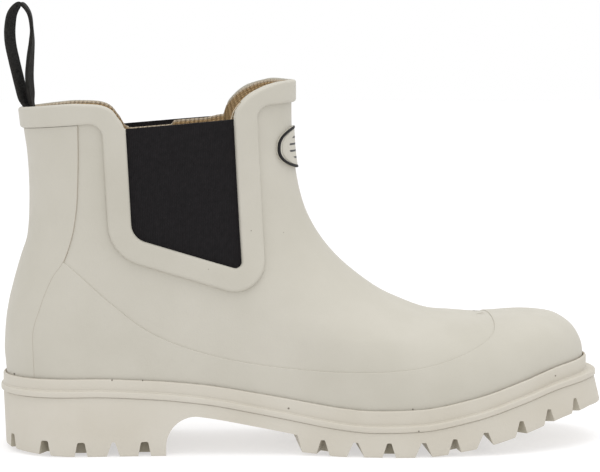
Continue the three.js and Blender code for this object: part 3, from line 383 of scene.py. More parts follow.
class Form:
    """The boot's outer form. v counts its sections up from the feather edge, turn goes
    once round from the heel, over the outer side first."""

    # Grid of the form, from heel to toe half way round
    ROWS = 301
    HALF = 240
    # Rise of a section beyond the grid's ends, and how many sections a search goes there
    BEYOND = 0.012
    MARGIN = 1.6
    # Slope that keeps the sections under the line over instep and toe
    RIDGE_EASE = 0.01

    def __init__(self, upper, sole, trim):
        self.upper, self.sole, self.trim = upper, sole, trim
        self.line = {name: curve(SOLE_LINE, name, "at") for name in SOLE_LINE}
        self.plan = {name: curve(PLAN, name, "at") for name in PLAN}
        self.section = {name: curve(SECTIONS, name) for name in SECTIONS}
        self.foxing_out = upper.heel_strip + upper.clearance + sole.foxing_edge
        self.ridge_out = np.array([
            self.foxing_out + sole.ridge_side / 2,
            self.foxing_out + sole.ridge_side,
            self.foxing_out + sole.ridge_end,
        ])
        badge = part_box("badge_plate")
        self.origin = np.array([
            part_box("midsole")[0].x + self.ridge_out[0], (badge[0].y + badge[1].y) / 2, 0,
        ])
        self.back_x, self.back_z, self.front_x, self.front_z = (float(e) for e in self.ends(TOP))
        _, _, ridge_x, ridge_z = self.ends(np.linspace(0, TOP, 401))
        self.ridge_x, self.ridge_z = ridge_x[::-1], ridge_z[::-1]
        self.drop = curve(COLLAR_LINE, "drop", "along")
        self.lay_grid()

    def foxing_foot(self, x):
        at = x / self.upper.foot_length
        return (self.sole.forepart_height + self.sole.heel_lift * self.line["heel"](at)
                + self.sole.toe_spring * self.line["toe"](at))

    def foxing_top(self, x):
        rise = self.line["foxing"](x / self.upper.foot_length)
        return self.foxing_foot(x) + self.sole.foxing_height * rise

    def lip(self, x):
        drop = self.line["heel"](x / self.upper.foot_length)
        return self.foxing_top(x) - self.sole.lip_drop * drop

    def tray(self, x):
        return self.foxing_foot(x) + self.sole.tray_floor

    def underside(self, x):
        at = x / self.upper.foot_length
        rocker = self.sole.heel_rocker * smooth(0.13, -0.03, at)
        return self.sole.toe_spring * self.line["under"](at) + rocker

    def plan_body(self, x):
        at = x / self.upper.foot_length
        return (self.upper.heel_width * self.plan["heel"](at)
                + self.upper.waist_width * self.plan["waist"](at)
                + self.upper.ball_width * self.plan["ball"](at))

    def plan_middle(self, x):
        return self.upper.ball_width * self.plan["middle"](x / self.upper.foot_length)

    def ends(self, v):
        upper, section = self.upper, self.section
        return (
            upper.heel_curve * section["back"](v),
            self.foxing_top(0) + upper.back_height * section["up"](v),
            upper.foot_length * section["foot"](v) + upper.shaft_length * section["leg"](v),
            self.foxing_top(upper.foot_length) + upper.toe_depth * section["toe"](v)
            + upper.front_height * section["front"](v),
        )

    def side_point(self, v, s):
        """Place in the side view at a share s of the way from back to front."""
        back_x, back_z, front_x, front_z = self.ends(v)
        length = self.upper.foot_length
        chord = self.foxing_top(0) + (self.foxing_top(length) - self.foxing_top(0)) * s
        x = back_x + (front_x - back_x) * s
        z = back_z + (front_z - back_z) * s
        z = z + (self.foxing_top(s * length) - chord) * self.section["sag"](v)
        ridge = np.interp(x, self.ridge_x, self.ridge_z) - self.RIDGE_EASE * (front_x - x)
        z = np.where(v < 10, np.minimum(z, ridge), z)
        z = z + self.BEYOND * (np.minimum(v, 0) + np.maximum(v - TOP, 0))
        return x, z

    def ridge_distance(self, x, z):
        """Distance in the side view from the line over instep and toe."""
        dx, dz = np.diff(self.ridge_x), np.diff(self.ridge_z)
        ax, az = x[:, None] - self.ridge_x[:-1], z[:, None] - self.ridge_z[:-1]
        t = np.clip((ax * dx + az * dz) / (dx * dx + dz * dz), 0, 1)
        return np.sqrt(((ax - t * dx) ** 2 + (az - t * dz) ** 2).min(1))

    def lay_grid(self):
        """Points and normals of the form on a fine grid of v and turn."""
        upper, section = self.upper, self.section
        length = upper.foot_length
        v = np.linspace(0, TOP, self.ROWS)[:, None]
        turn = np.linspace(0, 0.5, self.HALF + 1)[None, :]
        s = share_of(turn)
        x, z = self.side_point(v, s)
        near = np.stack([self.ridge_distance(x[i], z[i]) for i in range(self.ROWS)])
        back_x, _, front_x, _ = self.ends(v)
        toeward = smooth(0.61, 0.8, x / length)
        top = np.interp(x, self.ridge_x, self.ridge_z)
        depth = (1 - toeward) * near / (upper.shaft_length * section["round"](v))
        depth = depth + toeward * (top - z) / np.maximum(top - self.foxing_top(x), 1e-5)
        crown = rounded(depth, section["full"](v))
        crown[0] = 1
        heel_depth = upper.heel_width * HEEL_ROUND
        shaft_depth = upper.shaft_length * SHAFT_BACK_ROUND
        back_round = heel_depth + (shaft_depth - heel_depth) * smooth(0.5, 1, section["up"](v))
        heel_end = rounded(s * (front_x - back_x) / back_round, END_FULLNESS)
        toe_end = rounded((length - x) / (length * TOE_ROUND), TOE_FULLNESS)
        shaft = section["shaft"](v)
        body = self.plan_body(x) * toe_end * (1 - shaft)
        body = body + upper.shaft_width / 2 * section["girth"](v) * shaft
        half = body * crown * heel_end
        half[:, 0] = half[:, -1] = 0
        middle = self.plan_middle(x) * (1 - shaft)
        outer = np.stack([x, middle - half, z], 2)
        inner = np.stack([x, middle + half, z], 2)[:, self.HALF - 1:0:-1]
        self.points = np.concatenate([outer, inner], 1)
        up = np.gradient(self.points, axis=0)
        around = np.roll(self.points, -1, 1) - np.roll(self.points, 1, 1)
        normals = unit(np.cross(around, up))
        folded = (self.points[..., 0] > 0.6 * length) & (v > 3) & (normals[..., 2] < 0)
        normals[folded] *= -1
        normals[0, :, 2] = 0
        self.normals = unit(normals)

    def at(self, v, turn, out=0.0):
        """Points of the form, pushed out along its normal."""
        v, turn, out = np.broadcast_arrays(np.asarray(v, float), turn, out)
        row = np.clip(v, 0, TOP) / TOP * (self.ROWS - 1)
        i = np.minimum(row.astype(int), self.ROWS - 2)
        a = (row - i)[..., None]
        column = (turn % 1.0) * 2 * self.HALF
        j = column.astype(int) % (2 * self.HALF)
        b = (column - np.floor(column))[..., None]
        k = (j + 1) % (2 * self.HALF)
        place, normal = (
            (1 - a) * ((1 - b) * g[i, j] + b * g[i, k])
            + a * ((1 - b) * g[i + 1, j] + b * g[i + 1, k])
            for g in (self.points, self.normals)
        )
        point = place + unit(normal) * out[..., None]
        point[..., 2] += self.BEYOND * (np.minimum(v, 0) + np.maximum(v - TOP, 0))
        return point

    def solve(self, inside, shape):
        """Section at which the way up leaves a region of the side view."""
        return bisect(inside, np.full(shape, -self.MARGIN), np.full(shape, TOP + self.MARGIN))

    def level(self, turn, line):
        """Section at which each turn meets a line drawn in the side view."""
        s = share_of(turn)

        def below(v):
            x, z = self.side_point(v, s)
            return z < line(x)
        return self.solve(below, s.shape)

    def locate(self, x, z):
        """Section and turn of points of the outer side, given in the side view."""
        x, z = np.asarray(x, float), np.asarray(z, float)

        def share(v):
            back_x, _, front_x, _ = self.ends(v)
            return np.clip((x - back_x) / (front_x - back_x), 0, 1)
        v = self.solve(lambda v: self.side_point(v, share(v))[1] < z, x.shape)
        return v, np.arccos(1 - 2 * share(v)) / (2 * math.pi)

    def collar_x(self, along):
        return self.back_x + along * self.upper.shaft_length

    def chord(self, x):
        share = (x - self.back_x) / (self.front_x - self.back_x)
        return self.back_z + (self.front_z - self.back_z) * share

    def collar(self, x):
        along = (x - self.back_x) / self.upper.shaft_length
        return self.chord(x) - self.trim.gore_dip * self.drop(along)

    def far_rise(self, x):
        """How much higher the collar of the inner side stands in front of its elastic."""
        along = (x - self.back_x) / self.upper.shaft_length
        return self.trim.inner_rise * smooth(0.69, 0.76, along) * smooth(1.02, 0.92, along)

    def window_corner(self, corner):
        along, down, _ = WINDOW[corner]
        x = self.collar_x(along)
        return np.array([x, self.chord(x) - self.trim.gore_depth * down])

    def window(self, margin):
        """Edges and lower corners of the elastic's window, let out by a margin."""
        corners = [self.window_corner(corner) for corner in range(len(WINDOW))]
        edges = []
        for a, b in zip(corners, corners[1:]):
            along = unit(b - a)
            edges.append((a + np.array([along[1], -along[0]]) * margin, along))

        def meet(a, b):
            cross = a[1][0] * b[1][1] - a[1][1] * b[1][0]
            gap = b[0] - a[0]
            return a[0] + a[1] * (gap[0] * b[1][1] - gap[1] * b[1][0]) / cross
        return edges, meet(edges[0], edges[1]), meet(edges[1], edges[2])

    def band_edge(self, x):
        return self.chord(x) - self.trim.band_width

    def sole_half(self, x, out):
        length = self.upper.foot_length
        heel_end = rounded((x + out[0]) / (self.upper.heel_width * HEEL_ROUND), END_FULLNESS)
        toe_end = rounded((length + out[2] - x) / (length * TOE_ROUND), TOE_FULLNESS)
        return (self.plan_body(x) + out[1]) * heel_end * toe_end

    def sole_ring(self, out, height, count=240, collapsed=False):
        """One ring of the sole, or the middle line that it closes to."""
        turn = np.linspace(0, 1, count + 1)
        length = self.upper.foot_length
        x = -out[0] + (length + out[2] + out[0]) * share_of(turn)
        half = self.sole_half(x, out)
        half[[0, count // 2, count]] = 0
        if collapsed:
            half = half * 0
        y = self.plan_middle(x) + np.where(turn < 0.5, -1, 1) * half
        return np.stack([x, y, height(np.clip(x, 0, length))], 1)


_forms = {}


def boot_form(context):
    """The form for the scene's sizes, worked out once."""
    if "form" not in _forms:
        scene = context.scene
        _forms["form"] = Form(scene.boot_upper, scene.boot_sole, scene.boot_trim)
    return _forms["form"]


def select_only(obj):
    bpy.ops.object.select_all(action="DESELECT")
    obj.select_set(True)
    bpy.context.view_layer.objects.active = obj


def edit_mesh(obj, *steps):
    """Runs edit-mode operators on the whole of a piece."""
    select_only(obj)
    bpy.ops.object.mode_set(mode="EDIT")
    for step, values in steps:
        bpy.ops.mesh.select_all(action="SELECT")
        step(**values)
    bpy.ops.object.mode_set(mode="OBJECT")


def outward(obj):
    edit_mesh(obj, (bpy.ops.mesh.normals_make_consistent, {"inside": False}))


def lofted(name, points, origin, uv=None, row_materials=None, closed=True):
    """A grid primitive whose vertices are laid along rows of points, its seams merged."""
    rows, columns = points.shape[:2]
    bpy.ops.object.select_all(action="DESELECT")
    bpy.ops.mesh.primitive_grid_add(x_subdivisions=columns - 1, y_subdivisions=rows - 1, size=1)
    obj = bpy.context.object
    obj.name = obj.data.name = name
    mesh = obj.data
    flat = np.empty(len(mesh.vertices) * 3, np.float32)
    mesh.vertices.foreach_get("co", flat)
    i = np.rint((flat[0::3] + 0.5) * (columns - 1)).astype(int)
    j = np.rint((flat[1::3] + 0.5) * (rows - 1)).astype(int)
    mesh.vertices.foreach_set("co", (points[j, i] + origin).astype(np.float32).ravel())
    corner = np.empty(len(mesh.loops), np.int32)
    mesh.loops.foreach_get("vertex_index", corner)
    if uv is not None:
        mesh.uv_layers.active.data.foreach_set("uv", uv[j, i][corner].astype(np.float32).ravel())
    if row_materials is not None:
        first = j[corner].reshape(-1, 4).min(1)
        mesh.polygons.foreach_set("material_index", np.asarray(row_materials, np.int32)[first])
    mesh.update()
    if closed:
        edit_mesh(obj, (bpy.ops.mesh.remove_doubles, {"threshold": 2e-6}))
        outward(obj)
    return obj


def close_ends(obj):
    """Fills the open ends of a tube."""
    edit_mesh(obj, (bpy.ops.mesh.fill_holes, {"sides": 0}))
    outward(obj)


def prism(name, outline, push):
    """A closed outline pushed along a vector: a cutter, or a straight block."""
    bpy.ops.object.select_all(action="DESELECT")
    bpy.ops.mesh.primitive_circle_add(vertices=len(outline), radius=1, fill_type="NGON")
    obj = bpy.context.object
    obj.name = name
    obj.data.vertices.foreach_set("co", np.asarray(outline, np.float32).ravel())
    move = {"TRANSFORM_OT_translate": {"value": tuple(push)}}
    edit_mesh(obj, (bpy.ops.mesh.extrude_region_move, move))
    outward(obj)
    return obj


def side_prism(name, outline, form):
    """An outline of the side view pushed right across the boot."""
    reach = form.upper.ball_width
    points = np.stack([outline[:, 0], np.full(len(outline), -reach), outline[:, 1]], 1)
    return prism(name, points + form.origin, (0, 2 * reach, 0))


def modify(obj, kind, **values):
    """One modifier, set and applied."""
    select_only(obj)
    bpy.ops.object.modifier_add(type=kind)
    modifier = obj.modifiers[-1]
    for key, value in values.items():
        setattr(modifier, key, value)
    bpy.ops.object.modifier_apply(modifier=modifier.name)


def cut(obj, cutter, inner_material=0):
    """Takes a cutter out of a piece and removes the cutter."""
    for _ in range(inner_material + 1):
        cutter.data.materials.append(None)
    cutter.data.polygons.foreach_set(
        "material_index", np.full(len(cutter.data.polygons), inner_material, np.int32))
    modify(obj, "BOOLEAN", operation="DIFFERENCE", object=cutter, solver="MANIFOLD")
    if not len(obj.data.polygons):
        raise RuntimeError(f"{cutter.name} left nothing of {obj.name}")
    mesh = cutter.data
    bpy.data.objects.remove(cutter)
    bpy.data.meshes.remove(mesh)


def finish_piece(obj, materials, replaced=(), angle=38):
    """Gives a piece its materials and smooth faces, and hangs it on the frame."""
    indices = np.empty(len(obj.data.polygons), np.int32)
    obj.data.polygons.foreach_get("material_index", indices)
    obj.data.materials.clear()
    for material in materials:
        obj.data.materials.append(material)
    obj.data.polygons.foreach_set("material_index", np.clip(indices, 0, len(materials) - 1))
    select_only(obj)
    bpy.ops.object.shade_smooth_by_angle(angle=math.radians(angle))
    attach(obj, "root")
    if replaced:
        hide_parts(*replaced)
    return obj


def run_lengths(points, axis):
    """Distance along rows or columns of points."""
    step = np.linalg.norm(np.diff(points, axis=axis), axis=2)
    start = np.zeros_like(np.take(step, [0], axis))
    return np.concatenate([start, np.cumsum(step, axis)], axis)


class Tree:
    """Adds and links the nodes of a material or a group."""

    def __init__(self, tree):
        self.tree = tree
        tree.nodes.clear()

    def feed(self, socket, value):
        """Links a socket to another one, or sets its value."""
        if isinstance(value, bpy.types.NodeSocket):
            self.tree.links.new(value, socket)
        else:
            socket.default_value = value

    def add(self, kind, sockets=None, **settings):
        node = self.tree.nodes.new(kind)
        for key, value in settings.items():
            setattr(node, key, value)
        for name, value in (sockets or {}).items():
            self.feed(node.inputs[name], value)
        return node

    def group(self, tree, **sockets):
        return self.add("ShaderNodeGroup", sockets, node_tree=tree).outputs

    def parts(self, vector):
        return self.add("ShaderNodeSeparateXYZ", {0: vector}).outputs

    def math(self, operation, a, b=0.0, c=0.0):
        return self.add("ShaderNodeMath", {0: a, 1: b, 2: c}, operation=operation).outputs[0]

    def wave(self, value, pitch):
        """Rounded ridges of one pitch."""
        sine = self.math("SINE", self.math("MULTIPLY", value, math.pi / pitch))
        return self.math("ABSOLUTE", sine)

    def ramp(self, value, low, high, start=0.0, end=1.0):
        sockets = {
            "Value": value, "From Min": low, "From Max": high, "To Min": start, "To Max": end}
        return self.add("ShaderNodeMapRange", sockets, clamp=True).outputs[0]

    def mix(self, factor, a, b):
        a, b = (c if isinstance(c, bpy.types.NodeSocket) else four(c) for c in (a, b))
        return self.add("ShaderNodeMix", {0: factor, 6: a, 7: b}, data_type="RGBA").outputs[2]

    def noise(self, vector, scale, detail=2.0, roughness=0.5):
        sockets = {"Vector": vector, "Scale": scale, "Detail": detail, "Roughness": roughness}
        return self.add("ShaderNodeTexNoise", sockets).outputs["Fac"]

    def bump(self, height, distance):
        sockets = {"Height": height, "Distance": distance, "Strength": 1.0}
        return self.add("ShaderNodeBump", sockets).outputs[0]


def four(channels):
    return (*channels, 1.0)


def group(name, inputs, outputs, fill):
    """A shader group with named sockets, filled once."""
    if name in bpy.data.node_groups:
        return bpy.data.node_groups[name]
    tree = bpy.data.node_groups.new(name, "ShaderNodeTree")
    nodes = Tree(tree)
    for sockets, way in ((inputs, "INPUT"), (outputs, "OUTPUT")):
        for socket, kind in sockets.items():
            tree.interface.new_socket(socket, in_out=way, socket_type=f"NodeSocket{kind}")
    given, out = nodes.add("NodeGroupInput"), nodes.add("NodeGroupOutput")
    for socket, value in zip(outputs, fill(nodes, given.outputs)):
        tree.links.new(value, out.inputs[socket])
    return tree


def rubber_group():
    """Cloudy colour, patchy gloss and fine grain of moulded rubber."""
    def fill(nodes, given):
        vector = given["Vector"]
        clouds = nodes.ramp(nodes.noise(vector, 22, 3), 0.35, 0.72)
        stains = nodes.ramp(nodes.noise(vector, 90, 4, 0.6), 0.55, 0.8, 0, 0.5)
        patches = nodes.math("MAXIMUM", clouds, stains)
        gloss = nodes.ramp(nodes.noise(vector, 160, 2), 0.3, 0.7, -0.05, 0.06)
        bumps = nodes.math("MULTIPLY", nodes.noise(vector, 260, 2), 0.6)
        return (
            nodes.mix(patches, given["Colour"], given["Shade"]),
            nodes.math("ADD", given["Rough"], gloss),
            nodes.math("MULTIPLY_ADD", nodes.noise(vector, 1500, 2), 0.35, bumps),
        )
    return group(
        "Moulded rubber",
        {"Vector": "Vector", "Colour": "Color", "Shade": "Color", "Rough": "Float"},
        {"Colour": "Color", "Roughness": "Float", "Height": "Float"}, fill)


def speck_group():
    """Small specks of dirt on the outer side."""
    def fill(nodes, given):
        parts = nodes.parts(given["Vector"])
        flat = nodes.add("ShaderNodeCombineXYZ", {"X": parts["X"], "Z": parts["Z"]}).outputs[0]
        mask = 0.0
        for x, z, radius in SPECKS:
            away = nodes.add("ShaderNodeVectorMath", {0: flat, 1: (x, 0, z)}, operation="DISTANCE")
            spot = nodes.ramp(away.outputs["Value"], radius * 0.5, radius * 1.3, 0.85, 0)
            mask = nodes.math("MAXIMUM", spot, mask)
        return [nodes.math("MULTIPLY", mask, nodes.math("LESS_THAN", parts["Y"], 0))]
    return group("Dirt specks", {"Vector": "Vector"}, {"Mask": "Float"}, fill)


def weave_group():
    """Plain weave on a piece's UV map, which is in metres."""
    def fill(nodes, given):
        parts = nodes.parts(given["Vector"])
        across = nodes.math("MULTIPLY", parts["X"], given["Across"])
        along = nodes.math("MULTIPLY", parts["Y"], given["Along"])
        total = nodes.math("ADD", nodes.math("FLOOR", across), nodes.math("FLOOR", along))
        over = nodes.math("PINGPONG", total, 1.0)
        under = nodes.math("SUBTRACT", 1.0, over)
        height = nodes.math("ADD", nodes.math("MULTIPLY", nodes.wave(across, 1), over),
                            nodes.math("MULTIPLY", nodes.wave(along, 1), under))
        return height, over
    return group(
        "Plain weave", {"Vector": "Vector", "Across": "Float", "Along": "Float"},
        {"Height": "Float", "Over": "Float"}, fill)


def material(name, build):
    """A named material, built once: build gives what its shader's sockets take."""
    if name in bpy.data.materials:
        return bpy.data.materials[name]
    made = bpy.data.materials.new(name)
    made.use_nodes = True
    nodes = Tree(made.node_tree)
    shader = nodes.add("ShaderNodeBsdfPrincipled")
    nodes.add("ShaderNodeOutputMaterial", {0: shader.outputs[0]})
    place = nodes.add("ShaderNodeTexCoord").outputs
    for socket, value in build(nodes, place["Object"], place["UV"]).items():
        nodes.feed(shader.inputs[socket], value)
    return made


def rubber_material(name, base, shade, dirt=None, glue=None, rough=0.56, specular=0.4):
    """Moulded rubber, with specks of dirt and a brown line at the foot of a raised edge
    where their colours are given."""
    def build(nodes, place, uv):
        skin = nodes.group(
            rubber_group(), Vector=place, Colour=four(base), Shade=four(shade), Rough=rough)
        tint = skin["Colour"]
        if dirt:
            tint = nodes.mix(nodes.group(speck_group(), Vector=place)["Mask"], tint, dirt)
        if glue:
            seam = nodes.ramp(nodes.parts(uv)["X"], HAIR, 0.00035, 0.45, 0)
            tint = nodes.mix(seam, tint, glue)
        return {
            "Base Color": tint, "Roughness": skin["Roughness"], "Specular IOR Level": specular,
            "Normal": nodes.bump(skin["Height"], 0.00018),
        }
    return material(name, build)


def upper_rubber(finish):
    return rubber_material("Upper rubber", finish.rubber, finish.rubber_shade, finish.dirt)


def edged_rubber(finish):
    return rubber_material(
        "Edged upper rubber", finish.rubber, finish.rubber_shade, finish.dirt, finish.glue)


def sole_rubber(finish):
    return rubber_material("Sole rubber", finish.sole, finish.sole_shade, finish.dirt, rough=0.6)


# Rubber of the faces inside the cuts, darker than the sole: painted shade of the recesses
def cut_rubber_with_painted_shade(finish):
    return rubber_material(
        "Cut sole rubber, painted shade", finish.cut, finish.sole_shade, rough=0.66, specular=0.3)


def glue_material(finish):
    def build(nodes, place, uv):
        spots = nodes.ramp(nodes.noise(place, 300, 3), 0.35, 0.7)
        return {"Base Color": nodes.mix(spots, finish.glue, finish.sole_shade), "Roughness": 0.7}
    return material("Glue line", build)


def cloth_material(finish, name="Woven lining", selvedge=True):
    def build(nodes, place, uv):
        weave = nodes.group(
            weave_group(), Vector=uv, Across=1 / CLOTH_PITCH, Along=1 / CLOTH_PITCH)
        wear = nodes.ramp(nodes.noise(place, 60, 3), 0.3, 0.75)
        threads = nodes.math("MULTIPLY_ADD", weave["Over"], 0.35, nodes.math("MULTIPLY", wear, 0.3))
        # The low parts of each thread take the dark colour too: painted shade in the hollows of the
        # weave
        threads = nodes.math("ADD", threads, nodes.ramp(weave["Height"], 0, 0.6, 0.35, 0))
        tint = nodes.mix(threads, finish.cloth, finish.cloth_dark_and_hollow_shade)
        if selvedge:
            edge = nodes.ramp(nodes.parts(uv)["Y"], 0.0007, 0.0013, 1, 0)
            tint = nodes.mix(edge, tint, finish.selvedge)
        return {
            "Base Color": tint, "Roughness": 0.92, "Specular IOR Level": 0.2,
            "Normal": nodes.bump(weave["Height"], 0.00025),
        }
    return material(name, build)


def elastic_material(finish):
    def build(nodes, place, uv):
        parts = nodes.parts(uv)
        weft = nodes.math("MULTIPLY", nodes.wave(parts["Y"], WEFT_PITCH), 0.3)
        height = nodes.math("MULTIPLY_ADD", nodes.wave(parts["X"], RIB_PITCH), 0.7, weft)
        uneven = nodes.ramp(nodes.noise(place, 420, 4, 0.7), 0.3, 0.75)
        # Raised parts of the ribs turn grey: painted sheen on the rib crests, uneven at random
        light = nodes.math("MULTIPLY", height, uneven)
        return {
            "Base Color": nodes.mix(light, finish.elastic, finish.elastic_sheen_and_grain),
            "Roughness": 0.88, "Specular IOR Level": 0.25, "Normal": nodes.bump(height, 0.0002),
        }
    return material("Ribbed elastic", build)


def webbing_material(finish):
    def build(nodes, place, uv):
        across, along = TAPE_PITCH
        weave = nodes.group(weave_group(), Vector=uv, Across=1 / across, Along=1 / along)
        uneven = nodes.ramp(nodes.noise(place, 500, 3), 0.3, 0.8)
        # Crowns of the threads turn grey: painted sheen, uneven at random
        light = nodes.math("MULTIPLY", weave["Height"], uneven)
        return {
            "Base Color": nodes.mix(light, finish.webbing, finish.webbing_sheen),
            "Roughness": 0.85, "Specular IOR Level": 0.3,
            "Normal": nodes.bump(weave["Height"], 0.0003),
        }
    return material("Woven tape", build)


def badge_material(finish):
    """Pale field with a few plain dark bars."""
    def build(nodes, place, uv):
        parts = nodes.parts(place)
        low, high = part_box("badge_plate")
        middle, half = (low + high) / 2, (high - low) / 2
        y = nodes.math("SUBTRACT", parts["Y"], middle.y)
        z = nodes.math("SUBTRACT", parts["Z"], middle.z)
        squares = [nodes.math("POWER", nodes.math("ABSOLUTE", nodes.math("DIVIDE", part, size)), 2)
                   for part, size in ((y, half.y), (z, half.z))]
        reach = nodes.math("SQRT", nodes.math("ADD", *squares))
        bars = nodes.ramp(nodes.wave(z, BAR_PITCH), 0.86, 0.93)
        bars = nodes.math("MULTIPLY", bars, nodes.ramp(reach, 0.7, 0.74, 1, 0))
        grain = nodes.noise(place, 700, 3)
        field = nodes.mix(nodes.ramp(grain, 0.3, 0.8), finish.rubber, finish.rubber_shade)
        return {
            "Base Color": nodes.mix(bars, field, finish.ink), "Roughness": 0.5,
            "Normal": nodes.bump(grain, HAIR),
        }
    return material("Badge field", build)


def ink_material(finish):
    def build(nodes, place, uv):
        grain = nodes.noise(place, 900, 3)
        tint = nodes.mix(nodes.math("MULTIPLY", grain, 0.3), finish.ink, finish.elastic_sheen_and_grain)
        return {
            "Base Color": tint, "Roughness": 0.6, "Specular IOR Level": 0.2,
            "Normal": nodes.bump(grain, HAIR),
        }
    return material("Badge ink", build)


def floor_material(finish):
    def build(nodes, place, uv):
        spots = nodes.ramp(nodes.noise(place, 40, 2), 0.3, 0.7, 0, 0.02)
        return {
            "Base Color": nodes.mix(spots, finish.floor, (0.4, 0.4, 0.4)), "Roughness": 0.8,
            "Specular IOR Level": 0.1, "Emission Color": (1, 0.99, 1, 1),
            "Emission Strength": FLOOR_GLOW,
        }
    return material("Pale floor", build)


def tube_of_form(form, tops, bottoms, around, rows, out):
    """Rows of points of the form between two heights, with a UV map in metres from the top."""
    turn = np.linspace(0, 1, around + 1)
    top, bottom = tops(turn), bottoms(turn)
    share = np.linspace(0, 1, rows)[:, None]
    v = bottom + (top - bottom) * share
    points = form.at(v, turn[None, :], out)
    across = run_lengths(points, 1)
    up = run_lengths(points, 0)
    return points, np.stack([across, up[-1:] - up], 2)


class BOOT_OT_upper(Operator):
    """Model the upper's rubber wall with its two windows, and the lining inside it"""
    bl_idname = "boot.upper"
    bl_label = "Upper and lining"

    # Gap between wall and lining, and how far both end below the collar
    LAYER_GAP = 0.00003
    WALL_DROP = 0.00015
    LINING_DROP = 0.0005

    # Stretch of the inner side, along the shaft, where the lining ends lower
    BARE = (0.385, 0.4, 0.56, 0.575)
    BARE_DROP = 0.0019

    def execute(self, context):
        form, finish = boot_form(context), context.scene.boot_finishes
        upper = form.upper
        rubber = upper.wall - upper.lining

        def foot(turn):
            return form.level(turn, lambda x: form.tray(x) + upper.clearance)

        def rim(drop):
            """Top of a layer, which stands higher on the inner side."""
            def top(turn):
                inner = turn > 0.5
                return form.level(
                    turn, lambda x: form.collar(x) + form.far_rise(x) * inner - drop(x, inner))
            return top
        points, uv = tube_of_form(form, rim(lambda x, inner: self.WALL_DROP), foot, 288, 88, 0)
        wall = lofted("upper_wall", points, form.origin, uv)
        modify(wall, "SOLIDIFY", thickness=rubber - self.LAYER_GAP, offset=-1)
        edges, low_back, low_front = form.window(form.trim.lap)
        far = 2 * upper.shaft_length
        start, end = edges[0][0] - edges[0][1] * far, edges[2][0] + edges[2][1] * far
        outline = np.concatenate([
            [start],
            corner_arc(start, low_back, low_front, WINDOW[1][2] + form.trim.lap),
            corner_arc(low_back, low_front, end, WINDOW[2][2] + form.trim.lap),
            [end],
        ])
        cut(wall, side_prism("window_cutter", outline, form))
        finish_piece(wall, [upper_rubber(finish)], ["upper"])

        low, full, still, gone = (form.collar_x(along) for along in self.BARE)

        def lining_drop(x, inner):
            """The lining leaves the back of the far elastic bare."""
            bare = smooth(low, full, x) * smooth(gone, still, x) * inner
            return self.LINING_DROP + self.BARE_DROP * bare
        points, uv = tube_of_form(form, rim(lining_drop), foot, 240, 72, -rubber)
        lining = lofted("lining", points, form.origin, uv)
        modify(lining, "SOLIDIFY", thickness=upper.lining, offset=-1)
        finish_piece(lining, [cloth_material(finish)])
        return {"FINISHED"}


